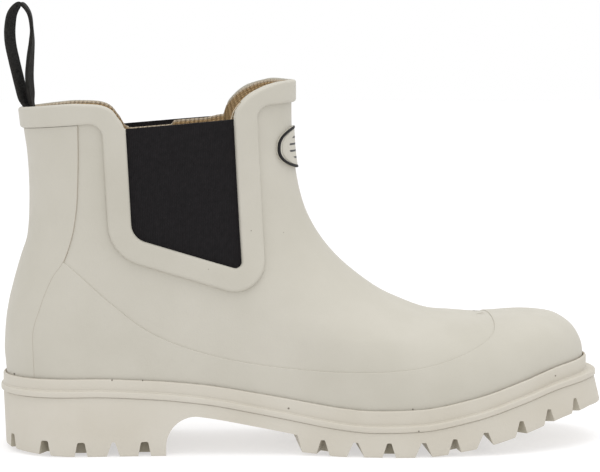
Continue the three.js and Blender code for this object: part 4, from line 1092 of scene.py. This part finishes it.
class BOOT_OT_overlays(Operator):
    """Model the strip up the heel and the rand with its toe cap"""
    bl_idname = "boot.overlays"
    bl_label = "Heel strip and rand"

    # Gap under the collar band, and the rounding of both edges
    BAND_GAP = 0.0002
    STRIP_ROUND = 0.00045
    RAND_ROUND = 0.0004

    def execute(self, context):
        form, finish = boot_form(context), context.scene.boot_finishes
        self.heel_strip(form, finish)
        self.rand(form, finish)
        return {"FINISHED"}

    def heel_strip(self, form, finish):
        upper = form.upper
        edge = curve(STRIP_EDGE, "along", "up")

        def edge_turn(v):
            def inside(turn):
                x, z = form.side_point(v, share_of(turn))
                up = (z - form.foxing_top(0)) / upper.back_height
                return x < upper.shaft_length * edge(up)
            return bisect(inside, np.zeros_like(v), np.full_like(v, 0.4))

        def top(turn):
            return form.level(turn, lambda x: form.band_edge(x) - self.BAND_GAP)
        share = np.linspace(0, 1, 110)[:, None]
        start = HIDDEN_START
        v_edge = start + (top(np.array([0.0])) - start) * share
        limit, nudge = edge_turn(v_edge), 0.002
        moved = form.at(v_edge, limit) - form.at(v_edge, limit - nudge)
        pace = np.linalg.norm(moved, axis=2) / nudge
        thick, radius = upper.heel_strip, self.STRIP_ROUND
        section = [(0, -HAIR)]
        section += [(radius * (1 - c), thick - radius + radius * s) for s, c in quarter()]
        insets, heights = np.array(section).T
        left = -(limit - insets / pace)
        across, below = 32, 12
        middle = left[:, -1:] * np.linspace(1, -1, across + 2)[1:-1]
        base = limit * np.linspace(1, -1, below)
        turn = np.concatenate([left, middle, -left[:, ::-1], base], 1)
        out = np.concatenate(
            [heights, np.full(across, thick), heights[::-1], np.full(below, -HAIR)])
        v = start + (top(turn.ravel()).reshape(turn.shape) - start) * share
        points = form.at(v, turn, out[None, :])
        inset = np.concatenate([insets, np.full(across, 1.0), insets[::-1], np.zeros(below)])
        uv = np.stack([np.broadcast_to(inset, turn.shape), run_lengths(points, 0)], 2)
        strip = lofted("heel_strip", points, form.origin, uv)
        close_ends(strip)
        finish_piece(strip, [edged_rubber(finish)])

    def rand(self, form, finish):
        upper = form.upper
        at, rise = np.array(RAND_EDGE).T
        x = at * upper.foot_length
        line = smooth_path(np.stack([x, form.foxing_top(x) + upper.toe_depth * rise], 1), 8)
        far = upper.foot_length
        behind = line[0, 0] - far
        region = np.concatenate([
            line, [(2 * far, line[-1, 1]), (2 * far, -far), (behind, -far), (behind, line[0, 1])]])
        turn = np.linspace(0, 1, 481)
        s = share_of(turn)
        top = form.solve(lambda v: within(region, *form.side_point(v, s)), s.shape)
        start, nudge = HIDDEN_START, 0.05
        pace = np.linalg.norm(form.at(top, turn) - form.at(top - nudge, turn), axis=1) / nudge
        thick, radius = upper.rand, self.RAND_ROUND
        rows = [(start + (top - start) * k, 1.0, thick) for k in np.linspace(0, 1, 46)[:-1]]
        step = np.minimum(radius / pace, 0.08)
        lowered = top - 1.5 * step
        rows = [(np.minimum(v, lowered), far_in, out) for v, far_in, out in rows]
        rows += [(top - step * (1 - c), radius * (1 - c), thick - radius + radius * s_)
                 for s_, c in reversed(quarter())]
        rows += [(start + (top - start) * k, 0.0, -HAIR) for k in np.linspace(1, 0, 10)]
        rows += [rows[0]]
        points = np.stack([form.at(v, turn, out) for v, _, out in rows])
        inset = np.stack([np.full(len(turn), far_in) for _, far_in, _ in rows])
        uv = np.stack([inset, run_lengths(points, 1)], 2)
        rand = lofted("rand", points, form.origin, uv)
        finish_piece(rand, [upper_rubber(finish)])


def smooth_path(corners, steps):
    """A curve through points that keeps close to their straight line."""
    ends = np.concatenate([[2 * corners[0] - corners[1]], corners, [2 * corners[-1] - corners[-2]]])
    points = []
    for i in range(1, len(ends) - 2):
        p = ends[i - 1:i + 3]
        gaps = np.sqrt(np.linalg.norm(np.diff(p, axis=0), axis=1))
        first = ((p[1] - p[0]) / gaps[0] - (p[2] - p[0]) / (gaps[0] + gaps[1])
                 + (p[2] - p[1]) / gaps[1]) * gaps[1]
        last = ((p[2] - p[1]) / gaps[1] - (p[3] - p[1]) / (gaps[1] + gaps[2])
                + (p[3] - p[2]) / gaps[2]) * gaps[1]
        t = np.linspace(0, 1, steps, endpoint=False)[:, None]
        points.append(p[1] + first * t + (3 * (p[2] - p[1]) - 2 * first - last) * t ** 2
                      + (2 * (p[1] - p[2]) + first + last) * t ** 3)
    return np.concatenate([*points, corners[-1:]])


def within(region, x, z):
    """Whether points of the side view lie in a region."""
    inside = np.zeros(np.shape(x), bool)
    for (x0, z0), (x1, z1) in zip(region, np.roll(region, -1, 0)):
        reach = x0 + (z - z0) * (x1 - x0) / (z1 - z0 if z1 != z0 else 1)
        inside ^= ((z0 > z) != (z1 > z)) & (x < reach)
    return inside


class BOOT_OT_collar_band(Operator):
    """Model the raised band round the collar and both elastics"""
    bl_idname = "boot.collar_band"
    bl_label = "Collar band"

    # Height of the band's underside over the form, and the rounding of its edges
    BASE = 0.00004
    UPPER_ROUND = 0.0013
    LOWER_ROUND = 0.0016

    # Outline: radius of the outer corners, lean of the rear edge, shoulders along the
    # shaft, and points from each shoulder to the boot's middle
    CORNER = 0.006
    BACK_LEAN = 0.2
    SHOULDERS = (0.24, 0.9)
    ENDS = 26

    def outlines(self, form):
        """Inner and outer edge of the band as matching sections and turns, half way round."""
        trim = form.trim
        edges, in_back, in_front = form.window(0)
        _, out_back, out_front = form.window(trim.band_width)
        high_back, high_front = form.window_corner(0), form.window_corner(3)
        upright_x = high_back[0] - trim.band_width
        back_x = self.BACK_LEAN * out_back[0] + (1 - self.BACK_LEAN) * upright_x
        front_x = high_front[0] + trim.band_width

        def under(x):
            return form.band_edge(x)

        def under_front(x):
            return form.band_edge(x) + trim.band_front_rise

        def point(x, line):
            return np.array([x, line(x)])
        start, end = point(form.collar_x(-0.3), under), point(form.collar_x(1.3), under_front)
        top_back, top_front = point(back_x, under), point(front_x, under_front)
        back_round, front_round = WINDOW[1][2], WINDOW[2][2]
        outer = [
            corner_arc(start, top_back, out_back, self.CORNER),
            corner_arc(top_back, out_back, out_front, back_round + trim.band_width),
            corner_arc(out_back, out_front, top_front, front_round + trim.band_width),
            corner_arc(out_front, top_front, end, self.CORNER),
        ]
        inner = [
            corner_arc(high_back, in_back, in_front, back_round),
            corner_arc(in_back, in_front, high_front, front_round),
        ]

        def crossing(place, way, low, high):
            """Where a line down the window's side passes the collar."""
            def above(reach):
                x, z = place + way * reach
                return z >= form.collar(x)
            return place + way * bisect(above, low, high)

        def on_edge(a, b, count=24):
            x = np.linspace(a, b, count)
            return np.stack([x, form.collar(x)], 1)

        def at_height(a, b, z):
            return a + (b - a) * (z - a[1]) / (b[1] - a[1])
        rim_back = crossing(*edges[0], -0.02, 0.05)
        drop = np.linalg.norm(in_front - high_front)
        rim_front = crossing(high_front, -edges[2][1], -0.02, drop)
        side_back = at_height(
            outer[0][-1], outer[1][0], min(rim_back[1], outer[0][-1][1] - 0.001))
        side_front = at_height(
            outer[2][-1], outer[3][0], min(rim_front[1], outer[3][0][1] - 0.001))
        shoulder_back, shoulder_front = (form.collar_x(along) for along in self.SHOULDERS)
        inner_paths = [
            on_edge(shoulder_back, rim_back[0]), np.array([rim_back, inner[0][0]]), inner[0],
            np.array([inner[0][-1], inner[1][0]]), inner[1], np.array([inner[1][-1], rim_front]),
            on_edge(rim_front[0], shoulder_front),
        ]
        outer_paths = [
            np.concatenate([outer[0], [side_back]]), np.array([side_back, outer[1][0]]), outer[1],
            np.array([outer[1][-1], outer[2][0]]), outer[2], np.array([outer[2][-1], side_front]),
            np.concatenate([[side_front], outer[3]]),
        ]
        counts = (26, 30, 18, 26, 12, 36, 26)

        def joined(paths, line_back, line_front):
            middle = [np.stack(form.locate(*resample(path, count).T))
                      for path, count in zip(paths, counts)]
            last = np.stack(form.locate(*paths[-1][-1:].T))
            turn = np.linspace(0, middle[0][1, 0], self.ENDS, endpoint=False)
            first = np.stack([form.level(turn, line_back), turn])
            turn = np.linspace(last[1, 0], 0.5, self.ENDS)
            front = np.stack([form.level(turn, line_front), turn])
            return np.concatenate([first, *middle, front], 1)
        rim = joined(inner_paths, form.collar, form.collar)
        return rim, joined(outer_paths, under, under_front)

    def execute(self, context):
        form, finish = boot_form(context), context.scene.boot_finishes
        rim, foot = self.outlines(form)
        front = slice(-2 * self.ENDS, None)
        x, _ = form.side_point(rim[0, front], share_of(rim[1, front]))
        raised = rim.copy()
        raised[0, front] += form.far_rise(x) * (TOP / (form.back_z - form.foxing_top(0)))
        mirrored = [np.stack([side[0, -2::-1], 1 - side[1, -2::-1]]) for side in (raised, foot)]
        rim, foot = np.concatenate([rim, mirrored[0]], 1), np.concatenate([foot, mirrored[1]], 1)
        width = np.linalg.norm(form.at(*rim) - form.at(*foot), axis=1)
        top = form.upper.clearance + form.trim.band
        high, low, base = self.UPPER_ROUND, self.LOWER_ROUND, self.BASE
        section = [(0 * width, base)]
        section += [(high * (1 - c) + 0 * width, top - high + high * s) for s, c in quarter()]
        section += [(high + (width - high - low) * k, top) for k in (0.2, 0.4, 0.6, 0.8)]
        section += [(width - low * (1 - c), top - low + low * s) for s, c in reversed(quarter(5))]
        section += [(width * k, base) for k in (1, 0.75, 0.5, 0.25, 0)]
        points = np.stack([
            form.at(*(rim + (foot - rim) * distance / width), out) for distance, out in section])
        across = np.stack([distance for distance, _ in section])
        uv = np.stack([across, run_lengths(points, 1)], 2)
        band = lofted("collar_rim", points, form.origin, uv)
        finish_piece(band, [upper_rubber(finish)], ["collar_band"])
        return {"FINISHED"}


class BOOT_OT_elastics(Operator):
    """Model the two elastic side panels under the band"""
    bl_idname = "boot.elastics"
    bl_label = "Elastic panels"

    def execute(self, context):
        form, finish = boot_form(context), context.scene.boot_finishes
        trim = form.trim
        edges, low_back, low_front = form.window(trim.lap - form.upper.clearance)

        def top_of(corner, way):
            def below(reach):
                x, z = corner + way * reach
                return z < form.chord(x) - trim.gore_dip
            return corner + way * bisect(below, 0, trim.gore_depth * 2)
        top_back, top_front = top_of(low_back, -edges[0][1]), top_of(low_front, edges[2][1])
        p = np.linspace(0, 1, 61)[None, :, None]
        q = np.linspace(0, 1, 81)[:, None, None]
        flat = ((1 - q) * ((1 - p) * low_back + p * low_front)
                + q * ((1 - p) * top_back + p * top_front))
        v, turn = form.locate(flat[..., 0], flat[..., 1])
        for name, node, place in (
            ("elastic_outer", "gore_outer", turn), ("elastic_inner", "gore_inner", 1 - turn),
        ):
            points = form.at(v, place)
            uv = np.stack([run_lengths(points, 1), run_lengths(points, 0)], 2)
            panel = lofted(name, points, form.origin, uv, closed=False)
            middle = panel.data.polygons[len(panel.data.polygons) // 2]
            if middle.normal.y * middle.center.y < 0:
                edit_mesh(panel, (bpy.ops.mesh.flip_normals, {}))
            modify(panel, "SOLIDIFY", thickness=trim.elastic - HAIR, offset=-1)
            finish_piece(panel, [elastic_material(finish)], [node])
        return {"FINISHED"}


class BOOT_OT_midsole(Operator):
    """Model the tray with its foxing wall and ridge, and the foot bed in it"""
    bl_idname = "boot.midsole"
    bl_label = "Tray and foot bed"

    # Bead of glue inside the lip: reach towards the upper and depth below the lip
    GLUE_BEAD = ((0, 0), (0.00025, 0.0004), (0, 0.001))

    def execute(self, context):
        form, finish = boot_form(context), context.scene.boot_finishes
        sole, upper = form.sole, form.upper
        bevel, soft = sole.bevel, 0.0005
        ridge, wall = form.ridge_out, np.full(3, form.foxing_out)
        lip = np.full(3, upper.heel_strip + upper.clearance)

        def foot(rise):
            return lambda x: form.foxing_foot(x) + rise

        def top(drop):
            return lambda x: form.lip(x) - drop
        crest = sole.ridge_height - bevel
        rings = [form.sole_ring(ridge - bevel, foot(0), collapsed=True)]
        rings += [form.sole_ring(ridge - bevel + bevel * s, foot(bevel - bevel * c))
                  for s, c in quarter()]
        rings += [form.sole_ring(ridge - bevel + bevel * c, foot(crest + bevel * s))
                  for s, c in quarter()]
        rings += [form.sole_ring(wall + soft * (1 - s), foot(sole.ridge_height + soft * (1 - c)))
                  for s, c in quarter(3)]
        rings += [form.sole_ring(wall - bevel + bevel * c, top(bevel - bevel * s))
                  for s, c in quarter()]
        outside = len(rings) - 1
        for inset, drop in self.GLUE_BEAD:
            rings += [form.sole_ring(lip - inset, top(drop))]
        rings += [form.sole_ring(lip, form.tray), form.sole_ring(lip, form.tray, collapsed=True)]
        marks = [0] * outside + [1] * (len(rings) - outside)
        points = np.stack(rings)
        uv = np.stack([run_lengths(points, 1), run_lengths(points, 0)], 2)
        tray = lofted("tray", points, form.origin, uv, marks)
        finish_piece(tray, [sole_rubber(finish), glue_material(finish)], ["midsole"])

        edge = np.full(3, -upper.wall - 2 * upper.clearance)
        radius = sole.insole_bevel

        def bed(rise):
            return lambda x: form.tray(x) + upper.clearance + rise
        rings = [form.sole_ring(edge, bed(0), 160, True), form.sole_ring(edge, bed(0), 160)]
        shoulder = sole.insole - radius
        rings += [form.sole_ring(edge - radius + radius * c, bed(shoulder + radius * s), 160)
                  for s, c in quarter()]
        rings += [form.sole_ring(edge - radius, bed(sole.insole), 160, True)]
        points = np.stack(rings)
        pad = lofted("foot_bed_pad", points, form.origin, points[..., :2])
        cloth = cloth_material(finish, "Foot bed cloth", selvedge=False)
        finish_piece(pad, [cloth], ["insole"])
        return {"FINISHED"}


class BOOT_OT_outsole(Operator):
    """Model the tread block with its arch, side cuts, channels and grooves"""
    bl_idname = "boot.outsole"
    bl_label = "Outsole"

    # Rounding of the cuts' roots
    HEEL_ROOT = 0.001
    ROOT = 0.0006

    def tapered(self, kind, form, mouth, depth, start, end, round_root):
        """A cutter that narrows upwards, between two points of the tread."""
        root, low = mouth * CUT_ROOT[kind], -form.sole.forepart_height
        slope = (mouth - root) / 2 / depth
        foot = mouth / 2 - slope * low
        radius = min(round_root, root * 0.48)
        profile = [(-foot, low), (foot, low)]
        arc = [(root / 2 - radius + radius * c, depth - radius + radius * s) for s, c in quarter()]
        profile += arc + [(-a, b) for a, b in reversed(arc)]
        forward = unit(end - start)
        across = np.cross((0, 0, 1), forward)
        outline = [start + across * a + np.array((0, 0, b)) for a, b in profile]
        return prism(f"{kind}_cutter", np.array(outline) + form.origin, end - start)

    def edge(self, form, at, side):
        def place(x):
            return np.array([x, form.plan_middle(x) + side * form.sole_half(x, form.ridge_out), 0])
        x = at * form.upper.foot_length
        along = unit(place(x + 0.001) - place(x - 0.001))
        return place(x), np.array([along[1], -along[0], 0]) * -side

    def execute(self, context):
        form, finish = boot_form(context), context.scene.boot_finishes
        sole, length = form.sole, form.upper.foot_length
        bevel, soft = sole.bevel, 0.0004
        upper_edge = form.ridge_out - sole.side_tuck
        upper_edge[0] = form.foxing_out
        lower_edge = form.ridge_out + np.array([0, 0, sole.toe_bumper])
        lower_edge[0] = form.foxing_out - sole.heel_tuck

        def lifted(rise):
            return lambda x: form.underside(x) + rise

        def top(drop):
            return lambda x: form.foxing_foot(x) - HAIR - drop

        def between(k):
            return lambda x: (1 - k) * lifted(bevel)(x) + k * top(soft)(x)
        rings = [form.sole_ring(lower_edge - bevel, lifted(0), collapsed=True)]
        rings += [form.sole_ring(lower_edge - bevel + bevel * s, lifted(bevel - bevel * c))
                  for s, c in quarter()]
        rings += [form.sole_ring((1 - k) * lower_edge + k * upper_edge, between(k))
                  for k in (0.25, 0.5, 0.75, 1)]
        rings += [form.sole_ring(upper_edge - soft + soft * c, top(soft - soft * s))
                  for s, c in quarter(3)[1:]]
        rings += [form.sole_ring(upper_edge - soft, top(0), collapsed=True)]
        points = np.stack(rings)
        uv = np.stack([run_lengths(points, 1), run_lengths(points, 0)], 2)
        block = lofted("tread_block", points, form.origin, uv, [0] * len(rings))
        for _ in range(2):
            block.data.materials.append(None)
        cut(block, side_prism("arch_cutter", self.arch(form), form), 0)
        mouths = {
            "channel": sole.channel_mouth, "notch": sole.notch_mouth,
            "heel": sole.heel_notch_mouth,
        }
        reach = form.upper.ball_width
        for at, kind in CUTS:
            in_heel = at < BREAST
            channel = kind == "channel"
            mouth = sole.notch_mouth if in_heel and channel else mouths[kind]
            depth = sole.channel_depth if channel and not in_heel else sole.notch_depth
            x = at * length
            floor = float(form.underside(x))
            round_root = self.HEEL_ROOT if in_heel else self.ROOT
            if channel:
                ends = [(np.array([x, -reach, floor]), np.array([x, reach, floor]))]
            else:
                ends = []
                for side in (-1, 1):
                    point, out = self.edge(form, at, side)
                    point[2] = floor
                    ends.append((point - out * sole.notch_reach, point + out * sole.notch_reach))
            for start, end in ends:
                cut(block, self.tapered(kind, form, mouth, depth, start, end, round_root), 1)
        for groove in (HEEL_GROOVE, FOREPART_GROOVE):
            x = np.array(groove) * length
            stops = np.stack([x, form.plan_middle(x), form.underside(x)], 1)
            for start, end in zip(stops, stops[1:]):
                cut(block, self.tapered("groove", form, sole.groove_width, sole.groove_depth,
                                        start, end, self.ROOT), 1)
        # The cut faces take the darker rubber, painted shade of the recesses
        paints = [sole_rubber(finish), cut_rubber_with_painted_shade(finish)]
        finish_piece(block, paints, ["outsole"], 32)
        return {"FINISHED"}

    def arch(self, form):
        """Outline of the space under the waist."""
        sole, length = form.sole, form.upper.foot_length
        breast, forepart = BREAST * length, FOREPART_START * length
        crown, radius = breast + sole.breast_radius, sole.breast_radius

        def roof(x):
            return form.foxing_foot(x) - sole.waist_thickness
        bend = [(crown - radius * c, roof(crown) - radius * (1 - s)) for s, c in quarter(12)]
        x = np.linspace(crown, forepart, 14)[1:]
        flat = np.stack([x, roof(x)], 1)
        reach = -form.upper.ball_width
        foot = forepart + sole.lug_slant
        return np.concatenate([[(breast, reach)], bend, flat, [(foot, 0), (foot, reach)]])


class BOOT_OT_pull_loop(Operator):
    """Model the woven pull loop at the back of the collar"""
    bl_idname = "boot.pull_loop"
    bl_label = "Pull loop"

    def execute(self, context):
        form, finish = boot_form(context), context.scene.boot_finishes
        trim, upper = form.trim, form.upper
        rim = form.back_z
        bow = trim.webbing_width ** 2 / (1.4 * upper.shaft_width)
        back_line = curve(SECTIONS, "back", "up")

        def seat(z):
            up = (z - form.foxing_top(0)) / upper.back_height
            gap = upper.wall + 2 * upper.clearance + bow + trim.webbing / 2
            return float(upper.heel_curve * back_line(up) + gap)
        beside = trim.webbing + upper.clearance
        rise = trim.loop_height - trim.webbing / 2
        ends = [rim - trim.loop_tail * share for share in (1, 0.4)]
        rows = [(seat(z), z, 0) for z in ends]
        rows += [(seat(rim) + out * trim.loop_spread, rim + up * rise, turn)
                 for out, up, turn in LOOP]
        rows += [(seat(z) + beside, z, 0) for z in reversed(ends)]
        steps = 12
        path = smooth_path(np.array([(x, 0, z) for x, z, _ in rows]), steps)
        along = unit(np.gradient(path, axis=0))
        angles = curve({"turn": [turn for _, _, turn in rows]}, "turn")
        angle = np.radians(angles(np.arange(len(path)) / steps))
        wide = np.stack([np.sin(angle), np.cos(angle), 0 * angle], 1)
        wide = unit(wide - along * (wide * along).sum(1, keepdims=True))
        thick = np.cross(along, wide)
        half, flat, radius = trim.webbing_width / 2, trim.webbing / 2, 0.0005
        section = []
        for a, b, turned in ((1, 1, False), (-1, 1, True), (-1, -1, False), (1, -1, True)):
            arc = [(a * (half - radius + radius * c), b * (flat - radius + radius * s))
                   for s, c in quarter(3)]
            section += arc[::-1] if turned else arc
            if turned == (b > 0):
                continue
            section += [(a * half * k, b * flat) for k in (0.5, 0, -0.5)]
        section += section[:1]
        points = np.stack([path + wide * a + thick * b for a, b in section], 1)
        uv = np.stack([np.broadcast_to([a for a, _ in section], points.shape[:2]),
                       run_lengths(points, 0)], 2)
        loop = lofted("loop", points, form.origin, uv)
        close_ends(loop)
        finish_piece(loop, [webbing_material(finish)], ["pull_loop"])
        return {"FINISHED"}


class BOOT_OT_badge(Operator):
    """Model the oval badge on the front of the shaft, with plain bars"""
    bl_idname = "boot.badge"
    bl_label = "Badge"

    # Height of the badge's underside over the form, and how square its oval is
    BASE = 0.0001
    SQUARENESS = 0.8

    def on_front(self, form, y, z, out):
        """Points on the front of the shaft, seen from the toe."""
        def height(turn):
            return form.level(turn, lambda x: z)

        def before(turn):
            return form.at(height(turn), turn)[..., 1] < y
        turn = bisect(before, np.full(y.shape, 0.3), np.full(y.shape, 0.7), 30)
        return form.at(height(turn), turn, out)

    def execute(self, context):
        form, finish = boot_form(context), context.scene.boot_finishes
        trim = form.trim
        height = form.front_z - trim.badge_drop
        angle = np.linspace(0, 2 * math.pi, 97)[None, :]
        half = np.array([trim.badge_width, trim.badge_height]) / 2

        def oval(name, section, paint, node):
            inset, out = (column[:, None] for column in np.array(section).T)
            wide, tall = (np.sign(f) * np.abs(f) ** self.SQUARENESS
                          for f in (np.cos(angle), np.sin(angle)))
            if node == "badge_plate":
                reach = half[:, None, None] * (1 - np.clip(inset / half[1], 0, 1))
            else:
                reach = half[:, None, None] - inset
            y, z = reach[0] * wide, height + reach[1] * tall
            points = self.on_front(form, y, z, np.broadcast_to(out, y.shape))
            finish_piece(lofted(name, points, form.origin), [paint], [node])
        rim, soft = trim.badge_rim + 0.0002, 0.0003
        top = form.upper.clearance + trim.badge + trim.badge_rim / 4
        shoulder = top - 2 * soft
        section = [(0, shoulder)]
        section += [(soft * (1 - c), top - soft + soft * s) for s, c in quarter(3)]
        section += [(rim - soft * (1 - c), top - soft + soft * s) for s, c in reversed(quarter(3))]
        section += [(rim, shoulder), (0, shoulder)]
        oval("badge_ring", section, ink_material(finish), "badge_rim")
        start, top, under = rim + HAIR, form.upper.clearance + trim.badge, shoulder - HAIR
        section = [(half[1], self.BASE), (0, self.BASE), (0, under), (start, under),
                   (start, top - soft)]
        section += [(start + soft * (1 - c), top - soft + soft * s) for s, c in quarter(3)[1:]]
        section += [(start + (half[1] - start) * k, top) for k in (0.12, 0.3, 0.5, 0.7, 0.85, 1)]
        oval("badge_field", section, badge_material(finish), "badge_plate")
        return {"FINISHED"}


class BOOT_OT_stage(Operator):
    """Lay the pale floor and set the studio light and the camera"""
    bl_idname = "boot.stage"
    bl_label = "Floor, light and camera"

    def light(self, name, place, aim, size, power):
        lamp = bpy.data.lights.new(name, "AREA")
        lamp.shape, lamp.size, lamp.size_y, lamp.energy = "RECTANGLE", size[0], size[1], power
        obj = bpy.data.objects.new(name, lamp)
        bpy.context.scene.collection.objects.link(obj)
        obj.location = place
        direction = np.array(aim) - np.array(place)
        tilt = math.atan2(math.hypot(direction[0], direction[1]), -direction[2])
        obj.rotation_euler = (tilt, 0, math.atan2(direction[1], direction[0]) - math.pi / 2)

    def execute(self, context):
        scene = context.scene
        bpy.ops.object.select_all(action="DESELECT")
        bpy.ops.mesh.primitive_plane_add(size=FLOOR_SIZE, location=(0, 0, 0))
        floor = context.object
        floor.name = "floor"
        floor.data.materials.append(floor_material(scene.boot_finishes))
        world = bpy.data.worlds.new("Studio")
        scene.world = world
        world.use_nodes = True
        background = world.node_tree.nodes["Background"].inputs
        background["Color"].default_value, background["Strength"].default_value = four((1, 1, 1)), 1
        for name, settings in LAMPS.items():
            self.light(name, *settings)
        lens = bpy.data.cameras.new("camera")
        camera = bpy.data.objects.new("camera", lens)
        scene.collection.objects.link(camera)
        camera.location = CAMERA_PLACE
        camera.rotation_euler = (math.radians(90 - CAMERA_DOWN), 0, math.radians(CAMERA_TURN))
        lens.lens, lens.sensor_width = CAMERA_LENS, CAMERA_SENSOR
        lens.clip_start, lens.clip_end = 0.05, 50
        scene.camera = camera
        scene.view_settings.view_transform = "Standard"
        return {"FINISHED"}


PIECES = (
    BOOT_OT_upper, BOOT_OT_overlays, BOOT_OT_collar_band, BOOT_OT_elastics, BOOT_OT_midsole,
    BOOT_OT_outsole, BOOT_OT_pull_loop, BOOT_OT_badge, BOOT_OT_stage,
)
GROUPS = (
    ("boot_upper", UpperSizes), ("boot_sole", SoleSizes), ("boot_trim", TrimSizes),
    ("boot_finishes", Finishes),
)


class VIEW3D_PT_boot(Panel):
    bl_idname = "VIEW3D_PT_boot"
    bl_label = "Rubber boot"
    bl_space_type = "VIEW_3D"
    bl_region_type = "UI"
    bl_category = "Boot"

    def draw(self, context):
        for piece in PIECES:
            self.layout.operator(piece.bl_idname)
        for name, kind in GROUPS:
            box = self.layout.box()
            for key in kind.__annotations__:
                box.prop(getattr(context.scene, name), key)


def register():
    for name, kind in GROUPS:
        bpy.utils.register_class(kind)
        setattr(bpy.types.Scene, name, PointerProperty(type=kind))
    for kind in (*PIECES, VIEW3D_PT_boot):
        bpy.utils.register_class(kind)


def unregister():
    for kind in (VIEW3D_PT_boot, *reversed(PIECES)):
        bpy.utils.unregister_class(kind)
    for name, kind in reversed(GROUPS):
        delattr(bpy.types.Scene, name)
        bpy.utils.unregister_class(kind)


def main():
    register()
    bpy.ops.boot.upper()
    bpy.ops.boot.overlays()
    bpy.ops.boot.collar_band()
    bpy.ops.boot.elastics()
    bpy.ops.boot.midsole()
    bpy.ops.boot.outsole()
    bpy.ops.boot.pull_loop()
    bpy.ops.boot.badge()
    bpy.ops.boot.stage()


if __name__ == "__main__":
    main()
